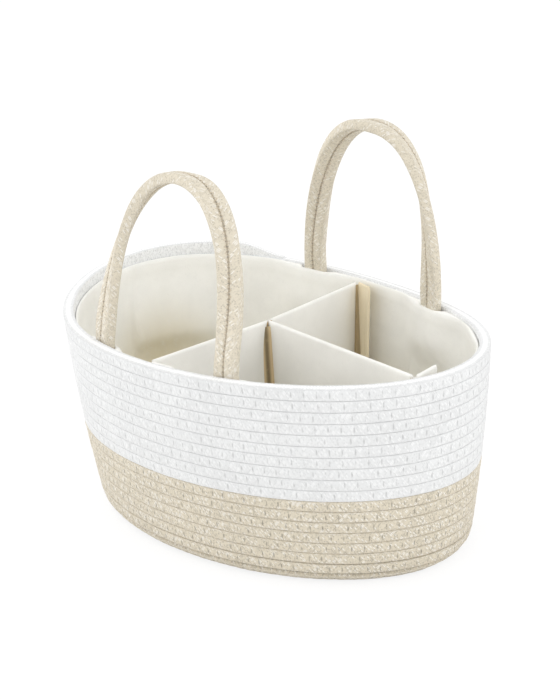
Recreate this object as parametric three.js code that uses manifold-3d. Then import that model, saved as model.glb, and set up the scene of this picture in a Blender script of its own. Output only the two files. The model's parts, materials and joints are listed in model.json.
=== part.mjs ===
// A rope storage caddy: an oval basket wound from one stitched rope, natural below and white above,
// with a sewn cloth lining, two carrying handles of doubled rope and a folding divider insert.
// Millimetres, +X along the basket, +Y to the back, +Z up. The origin is under the middle, on the table.

import * as THREE from 'three';
import { mergeVertices } from 'three/addons/utils/BufferGeometryUtils.js';
import Module from 'manifold-3d';

const wasm = await Module();
wasm.setup();

// Basket
const overallLength = 380;
const overallWidth = 258;
const ropeDiameter = 8.4;
const rowSlack = 0.2;
const rowGap = 0.6;
const footRadius = 12;
const backLift = 17;

// Lining
const clothThickness = 1;
const clothGap = 0.4;
const liningDrop = 5;

// Handles
const frontHandleHalfSpan = 66;
const rearHandleHalfSpan = 64;
const handleRise = 124;
const strapGap = 0.4;
const frontHandlePlace = 2;
const rearHandlePlace = 6.5;
const tailDepth = 30;
const bulgeRun = 3;
const hingeLift = 0.6;

// Divider insert
const boardThickness = 1.8;
const coverThickness = 0.6;
const insertDrop = 1.5;
const junctionPlaceX = -2;
const junctionPlaceY = 2;
const junctionGap = 0.4;
const tabRaise = 14;
const tabSetback = 3.2;
const frontTabWidth = 23;
const rearTabWidth = 20;
const endTabWidth = 23;
const tabThickness = 2.4;
const tabHeel = 1.6;
const wallClearance = 1.5;
const foldGap = 0.4;

// Fits between pieces that touch
const seatGap = 0.3;

// Angles, in degrees
const lowLean = 10;
const topLean = 4;
const windingEndAngle = 120;
const liftAngle = 150;
const liftSpread = 86;
const frontHandleLean = 14;
const rearHandleLean = 1;
const frontDividerAngle = -90;
const rearDividerAngle = 97.5;
const longDividerAngle = -9.2;
const frontTabTurn = 2;
const rearTabTurn = 31;
const endTabTurn = 16;

// Counts
const footRows = 2;
const naturalRows = 8.5;
const whiteRows = 10;
const turnSteps = 24;
const ropeSides = 6;
const handleSides = 8;
const handleSteps = 22;

// Shape numbers without a unit
const archSpread = 0.84;
const archRise = 0.88;
const coreStartShare = 0.25;
const tiny = 1e-9;

const degree = Math.PI / 180;
const ropeRadius = ropeDiameter / 2;
const rowPitch = ropeDiameter + rowSlack;
const windingSteps = turnSteps * (naturalRows + whiteRows);
const footSteps = turnSteps * footRows;
const naturalSteps = turnSteps * naturalRows;
const wallClimb = rowPitch * (naturalRows + whiteRows);
const footClimb = footRadius * (90 - lowLean) * degree;
const bowRadius = (wallClimb - footClimb) / ((lowLean - topLean) * degree);
const endStation = windingEndAngle * turnSteps / 360;

const rimProfile = wallProfile(wallClimb);
const footHalfLength = overallLength / 2 - ropeRadius - rimProfile.out;
const footHalfWidth = overallWidth / 2 - ropeRadius - rimProfile.out;
const coreHalf = footHalfLength - footHalfWidth;
const liningInset = ropeRadius + clothGap;

// Where the rope's middle lies after climbing from the edge of the flat base: outward, upward and tilt.
function wallProfile(climb) {
  if (climb <= 0) return { out: climb, up: 0, tilt: 0 };
  if (climb < footClimb) {
    const turn = climb / footRadius;
    return { out: footRadius * Math.sin(turn), up: footRadius * (1 - Math.cos(turn)), tilt: turn };
  }
  const low = lowLean * degree;
  const lean = low - (climb - footClimb) / bowRadius;
  return {
    out: footRadius * Math.cos(low) + bowRadius * (Math.cos(lean) - Math.cos(low)),
    up: footRadius * (1 - Math.sin(low)) + bowRadius * (Math.sin(low) - Math.sin(lean)),
    tilt: Math.PI / 2 - lean,
  };
}

// The outward direction, seen from above, at one of the stations round the oval.
function outward(station) {
  const turn = station * 360 / turnSteps * degree;
  const x = Math.cos(turn) * overallWidth;
  const y = Math.sin(turn) * overallLength;
  const size = Math.hypot(x, y);
  return { x: Math.abs(x / size) < tiny ? 0 : x / size, y: Math.abs(y / size) < tiny ? 0 : y / size };
}

// A loop's point seen from above. The loops are straight-sided round the core and elliptical at the foot.
function planPoint(station, halfWidth) {
  const n = outward(station);
  const halfLength = coreHalf + halfWidth;
  const size = Math.hypot(halfLength * n.x, halfWidth * n.y);
  const share = Math.min(1, halfWidth / footHalfWidth);
  const straight = coreHalf * Math.sign(n.x) + halfWidth * n.x;
  return {
    x: (1 - share) * straight + share * halfLength * halfLength * n.x / size,
    y: (1 - share) * halfWidth * n.y + share * halfWidth * halfWidth * n.y / size,
  };
}

// The rim stands higher round the back left, where the top row ends.
function liftFactor(station) {
  const away = ((station * 360 / turnSteps - liftAngle + 540) % 360) - 180;
  const shape = Math.cos(Math.min(1, Math.abs(away) / liftSpread) * Math.PI / 2);
  return 1 + shape * shape * backLift / rimProfile.up;
}

// A point of the wall at a whole station: at a climb, moved inward from the rope's middle.
function stationPoint(station, climb, inset = 0) {
  const profile = wallProfile(climb);
  const n = outward(station);
  const flat = planPoint(station, footHalfWidth + profile.out);
  const out = -inset * Math.sin(profile.tilt);
  const height = ropeRadius + profile.up * liftFactor(station) + inset * Math.cos(profile.tilt);
  return new THREE.Vector3(flat.x + n.x * out, flat.y + n.y * out, height);
}

// The same at any place between two stations, on the straight line from one to the next.
function wallPoint(place, climb, inset = 0) {
  const low = Math.floor(place);
  return stationPoint(low, climb, inset).lerp(stationPoint(low + 1, climb, inset), place - low);
}

// How far up the wall the top row's middle has come at a whole station.
function rimClimb(station) {
  const back = ((station - endStation) % turnSteps + turnSteps) % turnSteps;
  return wallClimb - rowPitch * back / turnSteps;
}

function rimClimbAt(place) {
  const low = Math.floor(place);
  return rimClimb(low) + (rimClimb(low + 1) - rimClimb(low)) * (place - low);
}

// Closed skin over a row of sections with equal point counts, capped at both ends or closed on itself.
function loft(sections, closed = false) {
  const count = sections[0].length;
  const points = sections.flat();
  const faces = [];
  const rows = closed ? sections.length : sections.length - 1;
  for (let row = 0; row < rows; row += 1) {
    const here = row * count;
    const next = ((row + 1) % sections.length) * count;
    for (let side = 0; side < count; side += 1) {
      const after = (side + 1) % count;
      faces.push(here + side, here + after, next + after, here + side, next + after, next + side);
    }
  }
  if (!closed) {
    for (const [start, flip] of [[0, true], [(sections.length - 1) * count, false]]) {
      for (let side = 1; side < count - 1; side += 1) {
        faces.push(start, start + (flip ? side + 1 : side), start + (flip ? side : side + 1));
      }
    }
  }
  return solidGeometry(points, faces);
}

// Turns the faces outward if they point in.
function solidGeometry(points, faces) {
  let volume = 0;
  const normal = new THREE.Vector3();
  for (let i = 0; i < faces.length; i += 3) {
    normal.crossVectors(points[faces[i + 1]], points[faces[i + 2]]);
    volume += points[faces[i]].dot(normal);
  }
  const order = [];
  for (let i = 0; i < faces.length; i += 3) {
    const [a, b, c] = faces.slice(i, i + 3);
    order.push(...(volume > 0 ? [a, b, c] : [a, c, b]));
  }
  const geometry = new THREE.BufferGeometry();
  const values = points.flatMap((point) => [point.x, point.y, point.z]);
  geometry.setAttribute('position', new THREE.Float32BufferAttribute(values, 3));
  geometry.setIndex(order);
  return geometry;
}

// The room between a turn and its neighbour one pitch away, less what the bend takes at its inner corners.
function roomBeside(station, climb, shift) {
  const here = wallProfile(climb);
  const there = wallProfile(climb + shift);
  const a = stationPoint(station, climb);
  const b = stationPoint(station, climb + shift);
  const n = outward(station);
  const spacing = Math.hypot((b.x - a.x) * n.x + (b.y - a.y) * n.y, b.z - a.z);
  return spacing - ropeRadius * Math.tan(Math.abs(there.tilt - here.tilt) / 2);
}

// A six-sided section of the winding, with its ridges facing out and in, or lying on a flat side.
function ropeSection(centre, n, tilt, halfHeight, flatDown) {
  const along = new THREE.Vector3(n.x * Math.cos(tilt), n.y * Math.cos(tilt), Math.sin(tilt));
  const out = new THREE.Vector3(n.x * Math.sin(tilt), n.y * Math.sin(tilt), -Math.cos(tilt));
  const points = [];
  for (let side = 0; side < ropeSides; side += 1) {
    const angle = (side + (flatDown ? 0.5 : 0)) * 2 * Math.PI / ropeSides;
    const outScale = flatDown ? Math.cos(Math.PI / ropeSides) : 1;
    const alongScale = flatDown ? 1 : Math.cos(Math.PI / ropeSides);
    points.push(centre.clone()
      .addScaledVector(out, ropeRadius * Math.cos(angle) / outScale)
      .addScaledVector(along, halfHeight * Math.sin(angle) / alongScale));
  }
  return points;
}

// The wall's winding runs clockwise seen from above. Step 0 leaves the flat base.
function wallSection(step) {
  const station = endStation + windingSteps - step;
  const climb = step * rowPitch / turnSteps;
  const room = Math.min(roomBeside(station, climb, rowPitch), roomBeside(station, climb, -rowPitch));
  const tilt = wallProfile(climb).tilt;
  return ropeSection(stationPoint(station, climb), outward(station), tilt, (room - rowGap) / 2, false);
}

// The flat base starts at one end of a straight core, and its turns fill the oval evenly.
const startPhase = turnSteps / 4 + 1;
const halfTurn = turnSteps / 2;
const wholePhase = ((startPhase - endStation - windingSteps) % halfTurn + halfTurn) % halfTurn;
const idealSteps = (footHalfWidth / rowPitch - coreStartShare) * turnSteps;
const baseSteps = Math.round((idealSteps - wholePhase) / halfTurn) * halfTurn + wholePhase;
const basePitch = footHalfWidth / (baseSteps / turnSteps + coreStartShare);

function baseSection(step) {
  const station = endStation + windingSteps - step;
  const halfWidth = footHalfWidth + step * basePitch / turnSteps;
  const n = outward(station);
  const here = planPoint(station, halfWidth);
  const next = planPoint(station, halfWidth + basePitch);
  const before = planPoint(station, Math.max(tiny, halfWidth - basePitch));
  const nextRoom = (next.x - here.x) * n.x + (next.y - here.y) * n.y;
  const beforeRoom = halfWidth > basePitch ? (here.x - before.x) * n.x + (here.y - before.y) * n.y : nextRoom;
  const halfHeight = (Math.min(nextRoom, beforeRoom) - rowGap) / 2;
  return ropeSection(new THREE.Vector3(here.x, here.y, ropeRadius), n, 0, halfHeight, true);
}

function sectionsBetween(first, last, makeSection) {
  const sections = [];
  for (let step = first; step <= last; step += 1) sections.push(makeSection(step));
  return sections;
}

// Cuts a tube's last section back, so that it ends a seat's gap before the next tube.
function cutBack(sections) {
  const last = sections.length - 1;
  const end = sections[last];
  const before = sections[last - 1];
  const length = end[0].distanceTo(before[0]);
  sections[last] = end.map((point, i) => point.clone().lerp(before[i], seatGap / length));
  return sections;
}

function middleOf(section, other) {
  return section.map((point, i) => point.clone().lerp(other[i], 0.5));
}

function pointGap(point, section) {
  let least = Infinity;
  const line = new THREE.Line3();
  const near = new THREE.Vector3();
  section.forEach((corner, i) => {
    line.set(corner, section[(i + 1) % section.length]);
    line.closestPointToPoint(point, true, near);
    least = Math.min(least, near.distanceTo(point));
  });
  return least;
}

// The least distance between each turn and the next, at every station and half way between stations.
function leastTurnGap(sections) {
  let least = Infinity;
  for (let i = 0; i + turnSteps + 1 < sections.length; i += 1) {
    const pairs = [
      [sections[i], sections[i + turnSteps]],
      [middleOf(sections[i], sections[i + 1]), middleOf(sections[i + turnSteps], sections[i + turnSteps + 1])],
    ];
    for (const [one, other] of pairs) {
      for (const point of one) least = Math.min(least, pointGap(point, other));
      for (const point of other) least = Math.min(least, pointGap(point, one));
    }
  }
  return least;
}

const baseSections = sectionsBetween(-baseSteps, 0, baseSection);
const footSections = sectionsBetween(0, footSteps, wallSection);
const naturalSections = sectionsBetween(footSteps, naturalSteps, wallSection);
const whiteSections = sectionsBetween(naturalSteps, windingSteps, wallSection);
const wholeWinding = [
  ...baseSections.slice(0, -1),
  ...footSections.slice(0, -1),
  ...naturalSections.slice(0, -1),
  ...whiteSections,
];
console.log(`least gap between two turns of the winding: ${leastTurnGap(wholeWinding).toFixed(2)} mm`);

// Handle feet: the strap of two ropes goes down between the wall and the lining.
const tailInset = liningInset + ropeRadius;
const strapHalf = (ropeDiameter + strapGap) / 2;

function footPlace(x, side) {
  for (let station = 0; station < turnSteps; station += 1) {
    const a = stationPoint(station, rimClimb(station), tailInset);
    const b = stationPoint(station + 1, rimClimb(station), tailInset);
    if (a.y * side < 0 || b.y * side < 0) continue;
    if ((a.x - x) * (b.x - x) > 0) continue;
    return { place: station + (x - a.x) / (b.x - a.x), chord: a.distanceTo(b) };
  }
  return { place: 0, chord: footHalfLength };
}

function makeFoot(x, side) {
  const { place, chord } = footPlace(x, side);
  const shift = strapHalf / chord;
  const places = [place - shift, place + shift];
  const climbs = places.map(rimClimbAt);
  const tops = places.map((at, i) => wallPoint(at, climbs[i], tailInset));
  const rimTop = Math.max(...places.map((at, i) => wallPoint(at, climbs[i]).z)) + ropeRadius;
  const middle = tops[0].clone().lerp(tops[1], 0.5);
  const hinge = new THREE.Vector3(middle.x, middle.y, rimTop + hingeLift + ropeRadius);
  return { place, chord, places, climbs, hinge };
}

const feet = {
  front_left: makeFoot(frontHandlePlace - frontHandleHalfSpan, -1),
  front_right: makeFoot(frontHandlePlace + frontHandleHalfSpan, -1),
  rear_left: makeFoot(rearHandlePlace - rearHandleHalfSpan, 1),
  rear_right: makeFoot(rearHandlePlace + rearHandleHalfSpan, 1),
};

// A round-sided ring whose flats face the two given directions.
function strapRing(centre, across, through, scale = 1) {
  const points = [];
  for (let side = 0; side < handleSides; side += 1) {
    const angle = (side + 0.5) * 2 * Math.PI / handleSides;
    const radius = scale * ropeRadius / Math.cos(Math.PI / handleSides);
    points.push(centre.clone()
      .addScaledVector(across, radius * Math.cos(angle))
      .addScaledVector(through, radius * Math.sin(angle)));
  }
  return points;
}

// A foot rope stands in the wall's slope, and its flat top lies under the handle's rounded end.
function tailGeometry(foot, which, upright) {
  const place = foot.places[which];
  const climb = foot.climbs[which];
  const low = Math.floor(place);
  const across = stationPoint(low + 1, climb, tailInset)
    .sub(stationPoint(low, climb, tailInset))
    .setZ(0)
    .normalize();
  const through = new THREE.Vector3(-across.y, across.x, 0);
  const centres = [tailDepth, tailDepth / 2, 0].map((down) => wallPoint(place, climb - down, tailInset));
  const seat = foot.hinge.clone().addScaledVector(upright, -ropeRadius - seatGap);
  const top = strapRing(centres[2], across, through).map((point) => {
    const slope = (upright.x * (point.x - seat.x) + upright.y * (point.y - seat.y)) / upright.z;
    return point.setZ(seat.z - slope);
  });
  return loft([...centres.map((centre) => strapRing(centre, across, through)), top]);
}

// One handle's line, its directions and the two ropes that follow it.
function handlePath(leftFoot, rightFoot, lean) {
  const middle = leftFoot.hinge.clone().lerp(rightFoot.hinge, 0.5);
  const along = rightFoot.hinge.clone().sub(leftFoot.hinge);
  const half = along.length() / 2;
  along.normalize();
  const upright = new THREE.Vector3(0, 0, 1).addScaledVector(along, -along.z).normalize();
  const backward = new THREE.Vector3().crossVectors(upright, along);
  const up = upright.clone().multiplyScalar(Math.cos(lean)).addScaledVector(backward, Math.sin(lean));
  const normal = new THREE.Vector3().crossVectors(up, along);
  const points = [];
  for (let step = 0; step <= handleSteps; step += 1) {
    const turn = Math.PI * step / handleSteps;
    const across = -Math.sign(Math.cos(turn)) * Math.abs(Math.cos(turn)) ** archSpread;
    const rise = Math.abs(Math.sin(turn)) ** archRise;
    points.push(middle.clone().addScaledVector(along, half * across)
      .addScaledVector(up, step === handleSteps ? 0 : handleRise * rise));
  }
  return { points, along, up, normal, upright };
}

function ropeFrames(path, twistSide) {
  const { points, along, up, normal } = path;
  const lengths = [0];
  for (let i = 1; i < points.length; i += 1) lengths.push(lengths[i - 1] + points[i].distanceTo(points[i - 1]));
  const whole = lengths[lengths.length - 1];
  return points.map((point, i) => {
    const ahead = points[Math.min(i + 1, points.length - 1)];
    const behind = points[Math.max(i - 1, 0)];
    const tangent = ahead.clone().sub(behind).normalize();
    if (i === 0) tangent.copy(up);
    if (i === points.length - 1) tangent.copy(up).negate();
    const outerSide = along.clone().multiplyScalar(-tangent.dot(up)).addScaledVector(up, tangent.dot(along));
    const twist = twistSide * Math.PI / 2 * Math.abs(1 - 2 * lengths[i] / whole);
    const across = normal.clone().multiplyScalar(Math.cos(twist)).addScaledVector(outerSide, Math.sin(twist));
    return { point, tangent, across, through: new THREE.Vector3().crossVectors(tangent, across) };
  });
}

// A rope of a handle, with rounded ends that turn in the seats at its feet.
function handleRope(frames, side) {
  const sections = [];
  const capShares = [0.97, 0.8, 0.45];
  const first = frames[0];
  const last = frames[frames.length - 1];
  const centreOf = (frame) => frame.point.clone().addScaledVector(frame.across, side * strapHalf);
  for (const share of capShares) {
    const centre = centreOf(first).addScaledVector(first.tangent, -ropeRadius * share);
    sections.push(strapRing(centre, first.across, first.through, Math.sqrt(1 - share * share)));
  }
  for (const frame of frames) sections.push(strapRing(centreOf(frame), frame.across, frame.through));
  for (const share of [...capShares].reverse()) {
    const centre = centreOf(last).addScaledVector(last.tangent, ropeRadius * share);
    sections.push(strapRing(centre, last.across, last.through, Math.sqrt(1 - share * share)));
  }
  return loft(sections);
}

// The lining's wall bulges inward over the handles' feet.
function bulgeAt(place) {
  let most = 0;
  for (const foot of Object.values(feet)) {
    const away = Math.abs(place - foot.place) * foot.chord - strapHalf - ropeRadius - clothGap;
    most = Math.max(most, 1 - Math.max(0, away) / bulgeRun);
  }
  return most;
}

function liningPlaces() {
  const places = Array.from({ length: turnSteps }, (_, station) => station);
  for (const foot of Object.values(feet)) {
    const full = (strapHalf + ropeRadius + clothGap) / foot.chord;
    const edge = full + bulgeRun / foot.chord;
    places.push(foot.place - edge, foot.place - full, foot.place + full, foot.place + edge);
  }
  return places.sort((a, b) => a - b);
}

const floorLevel = ropeDiameter + clothGap;
const floorTop = floorLevel + clothThickness;
const liningFootRadius = footRadius - liningInset;
const footCentreHeight = ropeRadius + footRadius;
const floorTurn = Math.acos((footCentreHeight - floorTop) / liningFootRadius);
const liningStartClimb = footRadius * (floorTurn + seatGap / liningFootRadius);

function liningWall() {
  const sections = liningPlaces().map((place) => {
    const top = wallClimb - liningDrop;
    const bulgeTop = rimClimbAt(place) - tailDepth - clothGap;
    const bulge = bulgeAt(place) * (ropeDiameter + clothGap);
    const levels = [
      [liningStartClimb, 0],
      [(liningStartClimb + footClimb) / 2, 0],
      [footClimb, 0],
      [(footClimb + bulgeTop) / 2, 0],
      [bulgeTop - tailDepth / 2, 0],
      [bulgeTop, bulge],
      [top, bulge],
    ];
    const outer = levels.map(([climb, more]) => wallPoint(place, climb, liningInset + more));
    const inner = levels.map(([climb, more]) => wallPoint(place, climb, liningInset + more + clothThickness));
    return [...outer, ...inner.reverse()];
  });
  return loft(sections, true);
}

function liningFloor() {
  const ring = (out, height) => Array.from({ length: turnSteps }, (_, station) => {
    const flat = planPoint(station, footHalfWidth + out);
    return new THREE.Vector3(flat.x, flat.y, height);
  });
  return loft([ring(0, floorLevel), ring(liningFootRadius * Math.sin(floorTurn), floorTop)]);
}

// How far a level line runs inside the lining, from a start point along a direction.
function reachAt(height, start, direction) {
  const corners = [];
  for (let station = 0; station < turnSteps; station += 1) {
    let low = liningStartClimb;
    let high = wallClimb;
    for (let i = 0; i < 40; i += 1) {
      const climb = (low + high) / 2;
      if (stationPoint(station, climb, liningInset + clothThickness).z < height) low = climb;
      else high = climb;
    }
    corners.push(stationPoint(station, low, liningInset + clothThickness));
  }
  let reach = Infinity;
  for (let i = 0; i < turnSteps; i += 1) {
    const a = corners[i];
    const b = corners[(i + 1) % turnSteps];
    const edge = { x: b.x - a.x, y: b.y - a.y };
    const cross = direction.x * edge.y - direction.y * edge.x;
    if (Math.abs(cross) < tiny) continue;
    const along = ((a.x - start.x) * edge.y - (a.y - start.y) * edge.x) / cross;
    const share = ((a.x - start.x) * direction.y - (a.y - start.y) * direction.x) / cross;
    if (along > 0 && share >= 0 && share <= 1) reach = Math.min(reach, along);
  }
  return reach;
}

// Divider panels meet at the junction, stand on the lining's floor and follow its wall with a clearance.
const rimFront = wallPoint(3 * turnSteps / 4, rimClimbAt(3 * turnSteps / 4)).z + ropeRadius;
const panelBottom = floorTop + seatGap;
const panelTop = rimFront - insertDrop;
const tabBottom = panelBottom + tabRaise;
const panelLevelShares = [0, 0.015, 0.04, 0.08, 0.3, 0.65, 1];
const panelLevels = panelLevelShares.map((share) => panelBottom + share * (panelTop - panelBottom));
const coverDepth = coverThickness + seatGap;
const dividerThickness = boardThickness + 2 * coverDepth;
const junction = { x: junctionPlaceX, y: junctionPlaceY };

// A panel's direction from the junction, and where its slanted fold line stands before the wall.
function panelPlan(angle, startGap) {
  const direction = { x: Math.cos(angle * degree), y: Math.sin(angle * degree) };
  const low = reachAt(tabBottom, junction, direction) - tabSetback;
  const top = reachAt(panelTop, junction, direction) - tabSetback;
  const foldReach = (level) => low + (top - low) * (level - tabBottom) / (panelTop - tabBottom);
  const endAt = (level) => Math.min(
    foldReach(level) - tabThickness / 2 - foldGap,
    reachAt(level, junction, direction) - wallClearance,
  );
  return { direction, foldReach, endAt, startAt: () => startGap };
}

// An upright panel's outline: distance along its direction, and height. Its ends are functions of the height.
function panelShape(startAt, endAt, inset, dropBelow) {
  const levels = panelLevels.map((level, i) => (i === panelLevels.length - 1 ? level - inset : level));
  const right = levels.map((level, i) => new THREE.Vector2(endAt(panelLevels[i]) - inset, level));
  const left = levels.map((level, i) => new THREE.Vector2(startAt(panelLevels[i]) + inset, level));
  if (dropBelow) {
    right.unshift(new THREE.Vector2(right[0].x, panelBottom - dropBelow));
    left.unshift(new THREE.Vector2(left[0].x, panelBottom - dropBelow));
  }
  return new THREE.Shape([...right, ...left.reverse()]);
}

function slab(shape, thickness) {
  const geometry = new THREE.ExtrudeGeometry(shape, { depth: thickness, bevelEnabled: false });
  return geometry.translate(0, 0, -thickness / 2);
}

function toSolid(geometry) {
  const bare = geometry.clone();
  bare.deleteAttribute('normal');
  bare.deleteAttribute('uv');
  const merged = mergeVertices(bare);
  const mesh = new wasm.Mesh({
    numProp: 3,
    vertProperties: new Float32Array(merged.attributes.position.array),
    triVerts: new Uint32Array(merged.index.array),
  });
  return new wasm.Manifold(mesh);
}

function fromSolid(solid) {
  const mesh = solid.getMesh();
  const geometry = new THREE.BufferGeometry();
  geometry.setAttribute('position', new THREE.Float32BufferAttribute(mesh.vertProperties, 3));
  geometry.setIndex(new THREE.Uint32BufferAttribute(mesh.triVerts, 1));
  return geometry;
}

// The board of a divider and the cloth cover pulled over it, open at the bottom.
function boardAndCover(startAt, endAt) {
  const outside = slab(panelShape(startAt, endAt, 0, 0), dividerThickness);
  const room = slab(panelShape(startAt, endAt, coverThickness, foldGap), dividerThickness - 2 * coverThickness);
  const cover = fromSolid(toSolid(outside).subtract(toSolid(room)));
  const board = slab(panelShape(startAt, endAt, coverDepth, 0), boardThickness);
  return { board, cover };
}

// Stands a panel upright: its own x axis runs along the direction, its own y axis up.
function uprightGroup(start, direction) {
  const group = new THREE.Group();
  group.position.set(start.x, start.y, 0);
  const along = new THREE.Vector3(direction.x, direction.y, 0);
  const matrix = new THREE.Matrix4().makeBasis(along, new THREE.Vector3(0, 0, 1),
    new THREE.Vector3(direction.y, -direction.x, 0));
  group.quaternion.setFromRotationMatrix(matrix);
  return group;
}

// Materials
const finish = (color, roughness) => new THREE.MeshStandardMaterial({ color, roughness, metalness: 0 });
const whiteRope = () => finish(0xecedee, 0.9);
const naturalRope = () => finish(0xdccdb4, 0.92);
const cloth = () => finish(0xe6e1cf, 0.88);
const board = () => finish(0xb99f78, 0.85);

const caddy = new THREE.Group();
caddy.name = 'rope_caddy';

function addPiece(parent, name, geometry, material) {
  const mesh = new THREE.Mesh(geometry, material);
  mesh.name = name;
  parent.add(mesh);
  return mesh;
}

addPiece(caddy, 'base_coil', loft(cutBack(baseSections)), naturalRope());
addPiece(caddy, 'foot_coil', loft(cutBack(footSections)), naturalRope());
addPiece(caddy, 'natural_wall_coil', loft(cutBack(naturalSections)), naturalRope());
addPiece(caddy, 'white_wall_coil', loft(whiteSections), whiteRope());
addPiece(caddy, 'lining_wall', liningWall(), cloth());
addPiece(caddy, 'lining_floor', liningFloor(), cloth());

const handles = {
  front: { left: feet.front_left, right: feet.front_right, lean: frontHandleLean * degree, outerSide: 1 },
  rear: { left: feet.rear_left, right: feet.rear_right, lean: rearHandleLean * degree, outerSide: -1 },
};
for (const [name, handle] of Object.entries(handles)) {
  const path = handlePath(handle.left, handle.right, handle.lean);
  const frames = ropeFrames(path, handle.outerSide);
  addPiece(caddy, `${name}_handle_outer_rope`, handleRope(frames, handle.outerSide), naturalRope());
  addPiece(caddy, `${name}_handle_inner_rope`, handleRope(frames, -handle.outerSide), naturalRope());
  const ranks = handle.outerSide > 0 ? ['outer', 'inner'] : ['inner', 'outer'];
  ranks.forEach((rank, which) => {
    const leftTail = tailGeometry(handle.left, which, path.upright);
    const rightTail = tailGeometry(handle.right, 1 - which, path.upright);
    addPiece(caddy, `${name}_left_${rank}_foot`, leftTail, naturalRope());
    addPiece(caddy, `${name}_right_${rank}_foot`, rightTail, naturalRope());
  });
}

// Three covered boards meet at the junction: one to the front, one to the rear and one to the right end.
const longStartGap = dividerThickness / 2 / Math.cos(longDividerAngle * degree)
  + dividerThickness / 2 * Math.abs(Math.tan(longDividerAngle * degree)) + junctionGap;
const plans = {
  front: panelPlan(frontDividerAngle, junctionGap),
  rear: panelPlan(rearDividerAngle, junctionGap),
  long: panelPlan(longDividerAngle, longStartGap),
};
for (const [name, plan] of Object.entries(plans)) {
  const group = uprightGroup(junction, plan.direction);
  const pieces = boardAndCover(plan.startAt, plan.endAt);
  addPiece(group, `${name}_divider_board`, pieces.board, board());
  addPiece(group, `${name}_divider_cover`, pieces.cover, cloth());
  caddy.add(group);
}

// A tab is a stiffened cloth flap at a divider's end, folded along the wall about a slanted line.
const tabOffset = dividerThickness / 2 + tabThickness / 2 + seatGap;
// The part of a tab behind its fold line is short enough to turn before the wall.
const tabHeelRoom = Math.sqrt((tabSetback - foldGap) ** 2 - (tabThickness / 2) ** 2);
const tabHeelReach = Math.min(tabHeel, tabOffset, tabHeelRoom);

function addTab(name, plan, side, turn, width) {
  const { x, y } = plan.direction;
  const sideways = new THREE.Vector3(-y * side, x * side, 0);
  const foldPoint = (level) => new THREE.Vector3(junction.x, junction.y, level)
    .addScaledVector(new THREE.Vector3(x, y, 0), plan.foldReach(level)).addScaledVector(sideways, tabOffset);
  const low = foldPoint(tabBottom);
  const high = foldPoint(panelTop);
  const upward = high.clone().sub(low).normalize();
  const along = sideways.clone().applyAxisAngle(upward, turn * side * degree);
  const length = low.distanceTo(high);
  const corners = [[-tabHeelReach, 0], [width, 0], [width, length], [-tabHeelReach, length]];
  const group = new THREE.Group();
  group.position.copy(low);
  const normal = new THREE.Vector3().crossVectors(along, upward);
  group.quaternion.setFromRotationMatrix(new THREE.Matrix4().makeBasis(along, upward, normal));
  const shape = new THREE.Shape(corners.map(([u, v]) => new THREE.Vector2(u, v)));
  addPiece(group, name, slab(shape, tabThickness), cloth());
  caddy.add(group);
  return [low, high];
}

const folds = {
  front: addTab('front_tab', plans.front, 1, frontTabTurn, frontTabWidth),
  rear: addTab('rear_tab', plans.rear, -1, rearTabTurn, rearTabWidth),
  end: addTab('end_tab', plans.long, 1, endTabTurn, endTabWidth),
};

caddy.userData = { feet, folds, junction, panelTop, panelBottom };

export default caddy;
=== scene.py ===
import json
import math

import bpy
import numpy as np
from bpy.props import FloatProperty, FloatVectorProperty, PointerProperty
from bpy.types import Operator, Panel, PropertyGroup
from mathutils import Matrix, Vector


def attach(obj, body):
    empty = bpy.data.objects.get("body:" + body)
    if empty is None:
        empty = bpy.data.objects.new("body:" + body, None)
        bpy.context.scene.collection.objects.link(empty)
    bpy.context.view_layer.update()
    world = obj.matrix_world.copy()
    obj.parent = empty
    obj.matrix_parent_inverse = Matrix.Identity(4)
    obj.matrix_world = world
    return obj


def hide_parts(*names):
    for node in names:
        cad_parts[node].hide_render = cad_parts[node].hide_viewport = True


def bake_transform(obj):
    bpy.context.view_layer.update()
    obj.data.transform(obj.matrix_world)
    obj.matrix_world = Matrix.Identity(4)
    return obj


bl_info = {
    "name": "Rope Storage Caddy",
    "version": (1, 0, 0),
    "blender": (4, 5, 0),
    "location": "View3D > Sidebar > Caddy",
    "description": "Dresses the packed rope caddy in stitched rope, woven cloth and a small studio",
    "category": "Add Mesh",
}

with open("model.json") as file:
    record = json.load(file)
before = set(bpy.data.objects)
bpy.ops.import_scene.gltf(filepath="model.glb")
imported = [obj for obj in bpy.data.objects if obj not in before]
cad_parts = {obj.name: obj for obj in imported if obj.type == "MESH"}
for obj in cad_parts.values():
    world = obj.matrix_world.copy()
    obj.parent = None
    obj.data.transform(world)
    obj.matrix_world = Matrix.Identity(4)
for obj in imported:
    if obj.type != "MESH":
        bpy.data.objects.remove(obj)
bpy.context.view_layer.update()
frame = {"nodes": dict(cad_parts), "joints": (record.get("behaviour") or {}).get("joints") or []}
JOINTS = {joint["name"]: joint for joint in frame["joints"]}

# The winding's steps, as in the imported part: in one turn, at the change of colour and at the top
TURN_STEPS, NATURAL_STEPS, WALL_STEPS = 24, 204, 444
END_TURN = math.radians(120)

# Clearance between the rope and what is sewn to it, and between two rows
CLEAR, ROW_CLEAR = 0.0004, 0.00005

# The dividers' junction seen from above, and a height on its hinge line
*JUNCTION, JUNCTION_HEIGHT = JOINTS["rear_divider_swing"]["pos_m"]
JUNCTION = np.array(JUNCTION)


# Sizes and colours

def metres(name, description, default):
    return FloatProperty(name=name, description=description, default=default, unit="LENGTH")


def degrees(name, description, default):
    return FloatProperty(name=name, description=description, default=math.radians(default), subtype="ANGLE")


def watts(name, description, default):
    return FloatProperty(name=name, description=description, default=default, unit="POWER")


def dye(name, description, default):
    return FloatVectorProperty(name=name, description=description, default=default, subtype="COLOR", min=0, max=1)


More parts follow.
